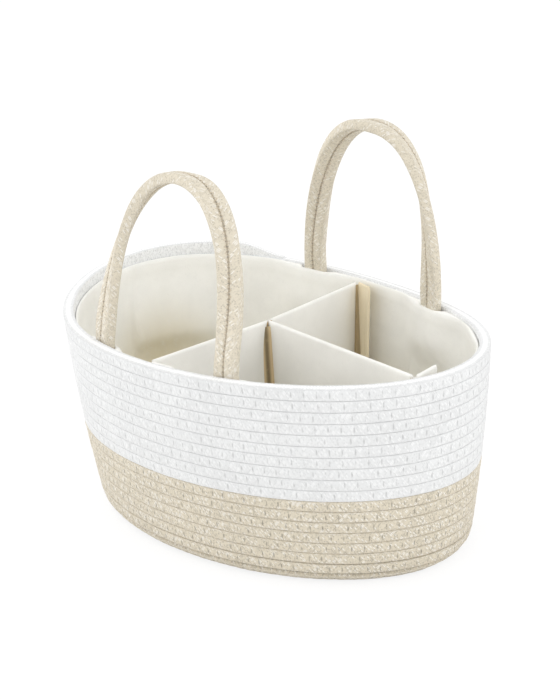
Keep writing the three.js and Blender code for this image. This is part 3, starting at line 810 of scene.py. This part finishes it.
def strap(line, at, basket, stitch):
    """Two ropes side by side, sewn together, and the line's place and directions."""
    centre, across = line[:, :3], unit(line[:, 3:6])
    tangent = unit(np.gradient(centre, axis=0))
    across = unit(across - tangent * np.einsum("ij,ij->i", across, tangent)[:, None])
    through = np.cross(tangent, across)
    half = basket.radius + basket.sizes.strap_gap / 2
    wide, ends = np.full(len(at), half + STRAP_PRESSED), np.full(len(at), basket.radius * 0.8)
    shells = []
    for sign, wobble in zip((-1, 1), STRAP_WOBBLE):
        middle = centre + across * (sign * half)
        size = basket.radius + ridge((at,), *wobble)
        rings = oval_rings(middle, across * -sign, through, wide, size, ROPE_SIDES, 5.2)
        rings, places = rounded_ends(rings, at, middle, tangent, ends, (0.4, 0.75, 0.95), 0.001)
        shells.append(loft(rings, places + sign * 0.37 * stitch))
    return joined(*shells), centre, across, through


def zigzag(at, centre, across, through, radius, reach, pitch, margin):
    """Sewing thread that crosses the seam of a strap from side to side, on both faces."""
    first, last = margin, at[-1] - margin
    knots = first + np.arange(int((last - first) / pitch) + 1) * pitch
    side = np.where(np.arange(len(knots)) % 2, reach, -reach)[:, None]
    base = sample(at, centre, knots) + unit(sample(at, across, knots)) * side
    out = unit(sample(at, through, knots)) * (radius * 0.93)
    shells = []
    for face in (-1, 1):
        line = base + out * face
        steps = (line[1:] - line[:-1])[:, None] * np.array([0.0, 0.2, 0.5, 0.8])[:, None]
        fine = np.concatenate([(line[:-1, None] + steps).reshape(-1, 3), line[-1:]])
        tangent = unit(np.gradient(fine, axis=0))
        one = unit(np.cross(tangent, sample(at, through, np.linspace(first, last, len(fine)))))
        thick = np.full(len(fine), THREAD_RADIUS)
        rings = oval_rings(fine, one, unit(np.cross(one, tangent)), thick, thick, 6, 2.0)
        shells.append(loft(rings, distances(fine)))
    return joined(*shells)


# Lining

# Softness of the cloth all over: each wave's size, its rates round and up the basket, and its phase
CLOTH_WAVES = ((0.00035, (9.0, 31.0), 0.2), (0.00028, (17.0, -44.0), 1.1),
               (0.0002, (31.0, 23.0), 2.3), (0.00014, (53.0, -60.0), 0.9))

# Slack at the hem: degrees round the basket, how wide in degrees, how far off the wall, and how far down
RIM_SLACK = ((89, 6.5, 0.0011, 0.022), (38, 12, 0.002, 0.03), (160, 12, 0.0012, 0.03),
             (246, 9, 0.0012, 0.03), (318, 12, 0.0014, 0.03))

# Upright seams: degrees round the basket at the hem, and degrees that they run over per metre down. Then how far the
# cloth stands up beside them, over what width, and the wall's distance from the middle there.
UPRIGHT_SEAMS = ((173, 70), (355, 0))
SEAM_RIDGE, SEAM_HALF, SEAM_REACH = 0.0009, 0.0022, 0.17

# The crease at the left end and the painted shadow patch under it, in degrees round the basket and metres up the wall
CREASE_FROM, CREASE_TO = math.radians(132), math.radians(177.5)
CREASE_LOW, CREASE_HIGH = 0.085, 0.15
CREASE_DEPTH = 0.006
SHADOW_TURN, SHADOW_CLIMB = math.radians(163), 0.074

# Places round the lining, its gap and overlap at the floor's seam, how far down the hem and its stitches are, and how
# much the hem stands up, is pulled in by its stitches and rounds over
LINING_TURNS = np.linspace(0, 2 * math.pi, 541)[:-1]
SEAM_GAP, FLOOR_OVERLAP = 0.0003, 0.0007
HEM_WIDTH, HEM_STITCH = 0.0095, 0.0075
HEM_RISE, HEM_PULL, HEM_ROUND = 0.0004, 0.0003, 0.0005


def lining_folds(turn, climb, top, depth):
    """How far slack, a crease, a dip and a fold hold the lining off the wall."""
    def near(centre, wide):
        return ease(1 - turn_away(turn, math.radians(centre)) / math.radians(wide))

    soft = np.maximum(ridge((turn, climb), *CLOTH_WAVES) + 0.0006, 0)
    soft = soft * np.sin(depth * math.pi) ** 0.6 * (1 - 0.85 * near(91, 10))
    for centre, wide, size, tall in RIM_SLACK:
        soft = soft + size * near(centre, wide) * ease(1 - (top - climb) / tall)
    ledge = ease((climb - CREASE_LOW) / 0.011) * ease((CREASE_HIGH - climb) / 0.055)
    crease = CREASE_DEPTH * ledge * ease((turn - CREASE_FROM) / 0.3) * ease((CREASE_TO - turn) / 0.055)
    dip = 0.0012 * bell(climb - 0.131, 0.0016) * near(71.5, 2.6)
    fold = 0.0022 * bell(turn - math.radians(76) - (0.1 - climb) * 0.6, 0.016) * ease((0.112 - climb) / 0.03)
    return soft + crease - dip + fold


def lining_section(basket, bulge, pocket):
    """The lining wall's section at each turn: up the outside, over the hem and down the inside, with its heights.

    Bulge says how far its face stands off the rope wall round the handles' feet, and pocket how far its back does.
    """
    foot, cloth = basket.sizes.foot, basket.sizes.cloth
    start = foot * (basket.floor_seam()[0] + SEAM_GAP / (foot - basket.face))
    top = basket.climb - basket.sizes.lining_drop
    climbs = np.concatenate([np.linspace(start, basket.foot_climb, 6), np.linspace(0.03, top - 0.009, 26)[1:],
                             top - np.array([0.0085, 0.006, 0.003, 0.0])])
    turn, climb = np.meshgrid(LINING_TURNS, climbs, indexing="ij")
    down = top - climb
    folds = lining_folds(turn, climb, top, np.clip((climb - start) / (top - start), 0, 1))
    share = ease((0.055 - down) / 0.03)
    move = bulge[:, None] * share + folds
    back = pocket[:, None] * share + folds * 0.4
    seam = 0.0
    for centre, tilt in UPRIGHT_SEAMS:
        line = math.radians(centre) + math.radians(tilt) * down
        away = ((turn - line + math.pi) % (2 * math.pi) - math.pi) * SEAM_REACH
        seam = seam + SEAM_RIDGE * ease(1 - np.abs(away / SEAM_HALF + 0.5))
    hem = HEM_RISE * ease((HEM_WIDTH - down) / 0.0008) - HEM_PULL * bell(down - HEM_STITCH, 0.0006)
    thick = cloth * (0.15 + 0.85 * ease((climb - start) / 0.006)) + hem + seam
    crown = (back[:, -1:] + move[:, -1:] + cloth * 1.3) / 2
    section = np.concatenate([
        basket.wall(turn, climb, basket.face + back),
        basket.wall(turn[:, -1:], climb[:, -1:] + HEM_ROUND, basket.face + crown),
        basket.wall(turn, climb, basket.face + move + thick)[:, ::-1],
    ], axis=1)
    return section, np.concatenate([climbs, [top + HEM_ROUND], climbs[::-1]])


# Dividers and tabs

# Each divider's body, how far its edge at the junction is cut back at the top and how much more lower down, and the
# waves of slack cloth on its two faces: size, rates along it and up it, and phase
DIVIDERS = {
    "front": ("divider_insert", 0.0006, 0.0066, ((0.0007, 52, 21, 0), (0.0005, 44, -30, 0))),
    "rear": ("rear_divider", 0.0016, 0.001, ((0.0005, 39, 18, 0.6), (0.0006, 57, -23, 0))),
    "long": ("long_divider", -0.0022, -0.0004, ((0.0006, 61, -26, 0), (0.0008, 48, 19, -0.4))),
}
TAB_WAVES = ((0.0003, 140, 40, 0), (0.0, 0, 0, 0))

# Height over which the cut back comes in, and the groove of the seam round a cover
CUT_BACK_RUN = 0.013
GROOVE_DEPTH, GROOVE_HALF = 0.00028, 0.0008

# Half thicknesses: a cover's outside and inside, a tab, and a folded strip. The inside lies in from the edge as well.
COVER_HALF, COVER_INSIDE, TAB_HALF, WEB_HALF = 0.0018, 0.0013, 0.0012, 0.00035
COVER_CLOTH = 0.0006


def node_points(name):
    mesh = frame["nodes"][name].data
    values = np.empty(len(mesh.vertices) * 3)
    mesh.vertices.foreach_get("co", values)
    return values.reshape(-1, 3)


def divider_way(name):
    """The direction in which a divider runs from the junction."""
    return unit(node_points(f"{name}_divider_cover")[:, :2].mean(0) - JUNCTION)


def side_outline(name, direction):
    """A divider's ends at each height, measured along its direction."""
    points = node_points(name)
    along = (points[:, :2] - JUNCTION) @ direction
    levels = np.unique(np.round(points[:, 2], 5))
    at_levels = [along[np.abs(points[:, 2] - level) < 2e-5] for level in levels]
    return levels, np.array([ends.min() for ends in at_levels]), np.array([ends.max() for ends in at_levels])


def crowded(near_edge, count, skip):
    """Shares from 0 to 1 that lie closer together at both ends."""
    near_edge = np.array(near_edge)
    return np.concatenate([near_edge, np.linspace(0, 1, count)[skip:-skip], 1 - near_edge[::-1]])


def panel(origin, along, up, start, end, levels, half, waves, inset=0.0, edge=0.0022, seam=0.006, tuck=0.0):
    """A stuffed flat panel: two faces that meet round a soft edge, with a seam beside it.

    Start and end give its ends at the levels. An inset panel is the cover's inside, so its faces look inward. A tuck
    makes it thinner at its start.
    """
    high = crowded((0, 0.004, 0.011, 0.02), 34, 1)
    wide = crowded((0, 0.004, 0.012, 0.022), 60, 2)
    low_level, top_level = levels[0] + inset, levels[-1] - inset
    level = low_level + high * (top_level - low_level)
    left = (np.interp(level, levels, start) + inset)[:, None]
    right = (np.interp(level, levels, end) - inset)[:, None]
    run = left + wide * (right - left)
    level = np.broadcast_to(level[:, None], run.shape)
    from_edge = np.minimum(np.minimum(run - left, right - run), np.minimum(level - low_level, top_level - level))
    thick = half * np.sqrt(np.clip(1 - (1 - np.clip(from_edge / edge, 0, 1)) ** 2, 0, 1))
    thick = thick * (1 - tuck * ease(1 - (run - left) / 0.009))
    if not inset:
        thick = thick - GROOVE_DEPTH * bell(from_edge - seam, GROOVE_HALF)
    base = origin + along * run[..., None] + up * level[..., None]
    sides = []
    for sign, (size, run_rate, level_rate, phase) in zip((1, -1), waves):
        puff = size * (1 + np.sin(run * run_rate + level * level_rate + phase)) * ease(from_edge / 0.02)
        sides.append(base + np.cross(along, up) * (sign * (thick + puff))[..., None])
    number = np.arange(run.size).reshape(run.shape)
    inside = np.zeros_like(number, bool)
    inside[1:-1, 1:-1] = True
    rear_number = number.copy()
    rear_number[inside] = run.size + np.arange(inside.sum())
    points = np.concatenate([sides[0].reshape(-1, 3), sides[1][inside]])

    def corners(grid):
        return np.stack([grid[:-1, :-1], grid[:-1, 1:], grid[1:, 1:], grid[1:, :-1]], 2)

    place = corners(np.stack([run, level], -1)).reshape(-1, 4, 2)
    faces = np.concatenate([corners(number).reshape(-1, 4), corners(rear_number).reshape(-1, 4)[:, ::-1]])
    places = np.concatenate([place, place[:, ::-1]])
    if faces_out(points, faces) == bool(inset):
        faces, places = faces[:, ::-1], places[:, ::-1]
    return points, faces.tolist(), places.reshape(-1, 2).tolist()


def strip(path, low, high, half, lean=(0.0, 0.0), foot=0.0):
    """A thin upright ribbon of cloth along a level path. It leans by so much per metre above or below its foot."""
    table, at = resample(np.concatenate([np.array(path), np.zeros((len(path), 1))], 1), 0.0007)
    flat = smoothed(table, 4)[:, :2]
    way = unit(np.gradient(flat, axis=0))
    side = np.stack([-way[:, 1], way[:, 0]], -1) * half
    ring = np.concatenate([flat + side, (flat - side)[::-1]])
    heights = np.linspace(low, high, 24)
    rings = [np.column_stack([ring + np.array(lean) * (height - foot), np.full(len(ring), height)])
             for height in heights]
    return loft(np.array(rings), heights, across=np.concatenate([at, at[::-1] + 0.0006, [at[0]]]))


# Operators

class CADDY_OT_stage(Operator):
    """Sets the camera, the pale floor, the world and the lamps."""

    bl_idname = "caddy.stage"
    bl_label = "Stage"

    AIM = (0, 0, 0.09)
    PICTURE_HEIGHT = 700
    FLOOR_HALF, FLOOR_DROP = 4, 0.0002

    # Each lamp's place, what it looks at and how wide it is
    LAMPS = (("key", (-1.3, -0.7, 1.0), (0, 0, 0.05), 1.4), ("fill", (0.35, -1.7, 0.8), (0, 0, 0.1), 1.4),
             ("side", (1.6, 0.5, 0.7), (0, 0, 0.08), 1.2))

    def execute(self, context):
        scene, studio = context.scene, context.scene.caddy_studio
        scene.view_settings.view_transform = "Standard"
        self.camera(scene, studio)
        self.floor()
        self.world(scene, studio.sky)
        for name, place, aim, size in self.LAMPS:
            lamp = bpy.data.lights.new(f"{name}_lamp", "AREA")
            lamp.shape, lamp.size, lamp.energy = "DISK", size, getattr(studio, name)
            made = placed(lamp.name, lamp)
            made.location = place
            made.rotation_euler = (Vector(aim) - Vector(place)).to_track_quat("-Z", "Y").to_euler()
        return {"FINISHED"}

    def camera(self, scene, studio):
        az, el, roll = studio.azimuth, studio.elevation, studio.roll
        back = Vector((math.sin(az) * math.cos(el), -math.cos(az) * math.cos(el), math.sin(el)))
        right = Vector((math.cos(az), math.sin(az), 0))
        up = back.cross(right)
        right, up = right * math.cos(roll) + up * math.sin(roll), up * math.cos(roll) - right * math.sin(roll)
        lens = bpy.data.cameras.new("camera")
        lens.lens = studio.focal / self.PICTURE_HEIGHT * lens.sensor_width
        lens.clip_end = 20
        scene.camera = placed("camera", lens)
        scene.camera.matrix_world = Matrix((right, up, back)).transposed().to_4x4()
        scene.camera.location = Vector(self.AIM) + back * studio.distance + right * studio.aside + up * studio.above

    def floor(self):
        sheet = Finish("pale_floor")
        plain = sheet.add("ShaderNodeBsdfDiffuse", None, {"Color": (0.93, 0.93, 0.93, 1)})
        glow = sheet.add("ShaderNodeEmission", None, {"Color": (1, 1, 1, 1), "Strength": 1.05})
        mix = sheet.add("ShaderNodeMixShader", None, {0: sheet.seen() * 0.8, 1: plain.out(), 2: glow.out()})
        sheet.add("ShaderNodeOutputMaterial", None, {"Surface": mix.out()})
        mesh = bpy.data.meshes.new("floor")
        corners = [(x * self.FLOOR_HALF, y * self.FLOOR_HALF, -self.FLOOR_DROP)
                   for x, y in ((-1, -1), (1, -1), (1, 1), (-1, 1))]
        mesh.from_pydata(corners, [], [(0, 1, 2, 3)])
        mesh.materials.append(sheet.material)
        placed("floor", mesh)

    def world(self, scene, strength):
        sheet = Finish("pale_sky", "worlds")
        lit, white = (sheet.add("ShaderNodeBackground", None, {"Color": (1, 1, 1, 1), "Strength": value})
                      for value in (strength, 1.0))
        mix = sheet.add("ShaderNodeMixShader", None, {0: sheet.seen(), 1: lit.out(), 2: white.out()})
        sheet.add("ShaderNodeOutputWorld", None, {"Surface": mix.out()})
        scene.world = sheet.material


class CADDY_OT_coils(Operator):
    """Winds the flat base, the natural rows and the white rows from sewn rope."""

    bl_idname = "caddy.coils"
    bl_label = "Coiled rope"

    # Over what run the white rope's end thins out, and how square its pressed rows are
    TAPER, WHITE_SQUARE = 0.04, 12.0

    def execute(self, context):
        stitch = context.scene.caddy_sizes.stitch
        basket = Basket(context.scene.caddy_sizes)
        natural, white = (rope_material(context, kind, stitch, 0.5) for kind in ("natural_rope", "white_rope"))
        flat = sewn_rope(base_table(basket), stitch)
        piece("base_coil_rope", flat, natural, "basket", ["base_coil"])
        low = sewn_rope(wall_table(basket, 0, NATURAL_STEPS), stitch)
        piece("natural_rows", low, natural, "basket", ["foot_coil", "natural_wall_coil"])
        high = sewn_rope(wall_table(basket, NATURAL_STEPS, WALL_STEPS), stitch, self.TAPER, self.WHITE_SQUARE)
        piece("white_rows", high, white, "basket", ["white_wall_coil"])
        return {"FINISHED"}


class CADDY_OT_lining(Operator):
    """Sews the cloth lining: its wall with a hem, seams and slack, and its floor."""

    bl_idname = "caddy.lining"
    bl_label = "Lining"

    # How far beside a handle's foot the cloth's face and back come back to the wall, the foot's clearances, and the
    # row whose run is the cloth's flat length
    BULGE_RUN, POCKET_RUN = 0.034, 0.008
    FOOT_SIDE, FOOT_FACE = 0.0006, 0.0005
    MEASURED_ROW = 20

    # The floor's rings from its middle outward, how much thicker it is than the cloth, and its softness
    FLOOR_SHARES = (0.02, 0.2, 0.4, 0.6, 0.8, 0.93, 1.0)
    FLOOR_PAD, FLOOR_SOFT = 0.0001, 0.0003

    def execute(self, context):
        basket = Basket(context.scene.caddy_sizes)
        # A painted shadow patch on the lining at the left end, under the crease.
        shadow_spot = tuple(float(part) for part in basket.wall(SHADOW_TURN, SHADOW_CLIMB, basket.radius))
        cloth = cloth_material(context, "woven_lining", "lining", corner=shadow_spot)
        self.wall(basket, cloth)
        self.floor(basket, cloth)
        return {"FINISHED"}

    def wall(self, basket, cloth):
        sizes = basket.sizes
        rim = basket.wall(LINING_TURNS, basket.climb, basket.strap)[:, :2]
        bulge, pocket = np.zeros(len(rim)), np.zeros(len(rim))
        for name, half in (("front", sizes.front_span), ("rear", sizes.rear_span)):
            pos, axis = handle_hinge(JOINTS[f"{name}_handle_swing"])
            for sign in (-1, 1):
                foot = pos + axis * half * sign
                where = foot_turn(basket, foot[0], np.sign(foot[1]))
                away = np.linalg.norm(rim - basket.wall(where, basket.climb, basket.strap)[:2], axis=1)
                beside = away - (sizes.rope + sizes.strap_gap / 2 + self.FOOT_SIDE)
                bulge = np.maximum(bulge, ease(1 - beside / self.BULGE_RUN))
                pocket = np.maximum(pocket, ease(1 - beside / self.POCKET_RUN))
        bulge, pocket = ((sizes.rope + self.FOOT_FACE) * share for share in (bulge, pocket))
        section, heights = lining_section(basket, bulge, pocket)
        at = distances(section[:, self.MEASURED_ROW])
        shell = loft(section, at, closed=True, across=np.append(heights, heights[0]))
        wall = piece("lining_wall_cloth", shell, cloth, "basket", ["lining_wall"])

    def floor(self, basket, cloth):
        reach = basket.floor_seam()[1] + FLOOR_OVERLAP
        under = basket.sizes.rope + CLEAR
        over = under + basket.sizes.cloth + self.FLOOR_PAD
        rings = []
        for share in self.FLOOR_SHARES:
            x, y = basket.plan(LINING_TURNS, basket.half_width * share)
            rings.append(np.stack([x, y, np.full(len(x), under)], -1))
        for share in self.FLOOR_SHARES[::-1]:
            x, y = basket.plan(LINING_TURNS, (basket.half_width + reach) * share)
            soft = self.FLOOR_SOFT * np.sin(LINING_TURNS * 5 + share * 9) * math.sin(share * math.pi)
            rings.append(np.stack([x, y, over + soft], -1))
        points, faces, _ = loft(np.array(rings), np.arange(len(rings)))
        places = [points[corner, :2].tolist() for face in faces for corner in face]
        made = piece("lining_floor_cloth", (points, faces, places), cloth, "basket", ["lining_floor"])
        length, width = 2 * (basket.half_length + reach), 2 * (basket.half_width + reach)
        x, y = rings[len(self.FLOOR_SHARES)][:, :2].T
        area = 0.5 * abs(float(np.sum(x * np.roll(y, -1) - y * np.roll(x, -1))))


class CADDY_OT_handles(Operator):
    """Makes the two handles, each of two ropes sewn side by side that bend at the rim."""

    bl_idname = "caddy.handles"
    bl_label = "Handles"

    # Distances of the needle holes and of the seam's stitches, the thread's zigzag, and two heights below and above
    # the hinge whose points are worked out but not used
    HOLE_STEP, ROPE_SHIFT = 0.0036, 0.0046
    THREAD_REACH, THREAD_PITCH, THREAD_MARGIN = 0.0021, 0.0023, 0.004
    BEND_BELOW, BEND_ABOVE = 0.008, 0.011

    def execute(self, context):
        sizes = context.scene.caddy_sizes
        basket = Basket(sizes)
        rope = rope_material(context, "handle_rope", self.HOLE_STEP, 0.13, 0.87)
        thread = made_once(thread_finish, "handle_thread", context.scene.caddy_colours.thread)
        for name, half, lean, twist_way in (("front", sizes.front_span, sizes.front_lean, 1),
                                            ("rear", sizes.rear_span, sizes.rear_lean, -1)):
            joint = JOINTS[f"{name}_handle_swing"]
            line, at = handle_line(basket, joint, half, lean, twist_way)
            shell, centre, across, through = strap(line, at, basket, self.ROPE_SHIFT)
            nodes = [f"{name}_handle_{rank}_rope" for rank in ("outer", "inner")]
            nodes += [f"{name}_{side}_{rank}_foot" for side in ("left", "right") for rank in ("outer", "inner")]
            sewn = zigzag(at, centre, across, through, basket.radius,
                          self.THREAD_REACH, self.THREAD_PITCH, self.THREAD_MARGIN)
            pos, axis = handle_hinge(joint)
            upright = upright_from(axis)
            for part in (piece(f"{name}_handle_strap", shell, rope, None, nodes),
                         piece(f"{name}_handle_stitching", sewn, thread, None)):
                tuple(pos - upright * self.BEND_BELOW)
                tuple(pos + upright * self.BEND_ABOVE)
                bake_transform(part)
        return {"FINISHED"}


class CADDY_OT_dividers(Operator):
    """Covers the three divider boards in cloth and sews them together at the junction."""

    bl_idname = "caddy.dividers"
    bl_label = "Dividers"

    # Each hinge's name, its second divider, how far off the dividers' middle it lies, how far from the junction its
    # four corners are, how far below the top it ends and half its thickness
    HINGES = (("junction_tape", "long", 0.001, (0.017, 0.0042, 0.0044, 0.012), 0.003, 0.0003),
              ("junction_band", "rear", -0.0022, (0.018, 0.002, 0.002, 0.012), 0.0, WEB_HALF))
    TAPE_FOLD, BEND_FROM = 0.0128, 0.004
    FOOT_MARGIN, TOP_MARGIN = 0.001, 0.0012

    # Share of a cover's thickness that is lost where it is tucked in at the junction
    TUCK = 0.3

    def execute(self, context):
        cloth = cloth_material(context, "woven_divider", "divider")
        board = made_once(board_finish, "stiffener_board", context.scene.caddy_colours.board)
        origin, up = np.array([*JUNCTION, 0.0]), np.array([0, 0, 1.0])
        for name, (body, at_top, lower, waves) in DIVIDERS.items():
            way = divider_way(name)
            levels, start, end = side_outline(f"{name}_divider_cover", way)
            fine = np.linspace(levels[0], levels[-1], 60)
            start = start.min() + at_top + lower * (1 - np.exp((fine - fine[-1]) / CUT_BACK_RUN))
            end = np.interp(fine, levels, end)
            skins = [panel(origin, np.array([*way, 0.0]), up, start, end, fine, half, waves, inset, tuck=self.TUCK)
                     for half, inset in ((COVER_HALF, 0.0), (COVER_INSIDE, COVER_CLOTH))]
            piece(f"{name}_divider_cloth", joined(*skins), cloth, body, [f"{name}_divider_cover"])
            node = frame["nodes"][f"{name}_divider_board"]
            node.data.materials.clear()
            node.data.materials.append(board)
            low, high = float(levels[0]), float(levels[-1])
        # The tape's brown and the dark line along its fold are painted shade in the groove at the junction.
        tape = cloth_material(context, "hinge_tape", "tape", fold=self.TAPE_FOLD)
        self.hinges((tape, cloth), low + self.FOOT_MARGIN, high - self.TOP_MARGIN)
        return {"FINISHED"}

    def hinges(self, finishes, low, high):
        """The tape under the covers that holds the long divider, and the cloth band behind the other two; the tape's
        brown is painted shade.
        """
        def place(name, run, off=0.0):
            x, y = divider_way(name)
            return JUNCTION + np.array([x, y]) * run + np.array([-y, x]) * off

        for finish, (name, other, off, runs, drop, half) in zip(finishes, self.HINGES):
            sides = ("front", off), ("front", off), (other, -off), (other, -off)
            route = [place(divider, run, shift) for run, (divider, shift) in zip(runs, sides)]
            made = piece(name, strip(route, low, high - drop, half), finish, None)
            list(place("front", self.BEND_FROM))
            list(place(other, self.BEND_FROM))
            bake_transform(made)


class CADDY_OT_tabs(Operator):
    """Makes the three end tabs and the cloth folds that hold them."""

    bl_idname = "caddy.tabs"
    bl_label = "Tabs"

    # Places of a tab's outline below its top, what its tip loses at its foot and at each of them, what its heel loses
    # at the top, and what the rear tab's heel loses lower down
    DOWN = (0.055, 0.004, 0.0)
    TIP_LOSS = (0.003, 0.0, 0.0004, 0.0018)
    HEEL_ROUND, REAR_HEEL_LOSS = 0.0006, 0.0085

    # The fold's way round the panel's end, as distances off the panel's middle and back from the hinge. Then how far
    # it runs onto the tab, the share of the heel's loss that it makes up, a run along the tab whose point is worked
    # out but not used, and how far it stays from the tab's top and foot.
    WEB_ROUTE = ((0.0023, 0.005), (0.0023, 0.0016), (0.0012, 0.0006), (0.0, 0.0))
    WEB_RUN, WEB_SHARE, BEND_RUN = 0.004, 0.6, 0.0015
    WEB_MARGIN = 0.002

    def execute(self, context):
        cloth = cloth_material(context, "woven_divider", "divider")
        # Painted shade: the rear tab's cloth is browner.
        shaded = cloth_material(context, "woven_tab", "tab")
        # Painted shade: the rear fold's web takes the tape's colour, darker still.
        tape = cloth_material(context, "shaded_fold", "tape", depth=0.74)
        self.tab("front", "front", 0.0, cloth, cloth)
        self.tab("rear", "rear", self.REAR_HEEL_LOSS, shaded, tape)
        self.tab("end", "long", 0.0, cloth, cloth)
        return {"FINISHED"}

    def tab(self, name, owner, heel_loss, face, hinge):
        joint = JOINTS[f"{name}_tab_fold"]
        up = np.array(joint["axis"], float)
        up = up * np.sign(up[2])
        fold = np.array(joint["pos_m"], float)
        points = node_points(f"{name}_tab") - fold
        away = points.mean(0)
        along = unit(away - up * (away @ up))
        flat, tall = points @ along, points @ up
        low, high = float(tall.min()), float(tall.max())
        levels = np.array([low, *(high - down for down in self.DOWN)])
        start = flat.min() + np.array([heel_loss, heel_loss, 0.0, self.HEEL_ROUND])
        end = flat.max() - np.array(self.TIP_LOSS)
        shell = panel(fold, along, up, start, end, levels, TAB_HALF, TAB_WAVES, edge=TAB_HALF, seam=0.004)
        piece(f"{name}_tab_cloth", shell, face, f"{name}_tab_flap", [f"{name}_tab"])

        way, spot = divider_way(owner), fold[:2]
        side = np.array([-way[1], way[0]])
        side = side * np.sign((spot - JUNCTION) @ side)
        turned = unit(along[:2])
        path = [spot - side * off - way * back for off, back in self.WEB_ROUTE]
        path.append(spot + turned * (self.WEB_RUN + heel_loss * self.WEB_SHARE))
        ends = [fold[2] + height * up[2] for height in (low + self.WEB_MARGIN, high - self.WEB_MARGIN)]
        web = strip(path, *ends, WEB_HALF, lean=up[:2] / up[2], foot=fold[2])
        made = piece(f"{name}_fold_cloth", web, hinge, None)
        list(spot + turned * self.BEND_RUN)
        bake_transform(made)


class CADDY_PT_panel(Panel):
    """Lists the caddy's steps and settings."""

    bl_idname = "CADDY_PT_panel"
    bl_label = "Rope caddy"
    bl_space_type = "VIEW_3D"
    bl_region_type = "UI"
    bl_category = "Caddy"

    def draw(self, context):
        for step in STEPS:
            self.layout.operator(step.bl_idname, text=step.bl_label)
        for key in GROUPS:
            group, box = getattr(context.scene, key), self.layout.box()
            for size in group.__annotations__:
                box.prop(group, size)


GROUPS = {"caddy_sizes": CaddySizes, "caddy_colours": CaddyColours, "caddy_studio": CaddyStudio}
STEPS = (CADDY_OT_stage, CADDY_OT_coils, CADDY_OT_lining, CADDY_OT_handles, CADDY_OT_dividers, CADDY_OT_tabs)


def register():
    for group in (*GROUPS.values(), *STEPS, CADDY_PT_panel):
        bpy.utils.register_class(group)
    for key, group in GROUPS.items():
        setattr(bpy.types.Scene, key, PointerProperty(type=group))


def unregister():
    for key in GROUPS:
        delattr(bpy.types.Scene, key)
    for group in (CADDY_PT_panel, *reversed(STEPS), *GROUPS.values()):
        bpy.utils.unregister_class(group)


def main():
    register()
    bpy.ops.caddy.stage()
    bpy.ops.caddy.coils()
    bpy.ops.caddy.lining()
    bpy.ops.caddy.handles()
    bpy.ops.caddy.dividers()
    bpy.ops.caddy.tabs()


if __name__ == "__main__":
    main()
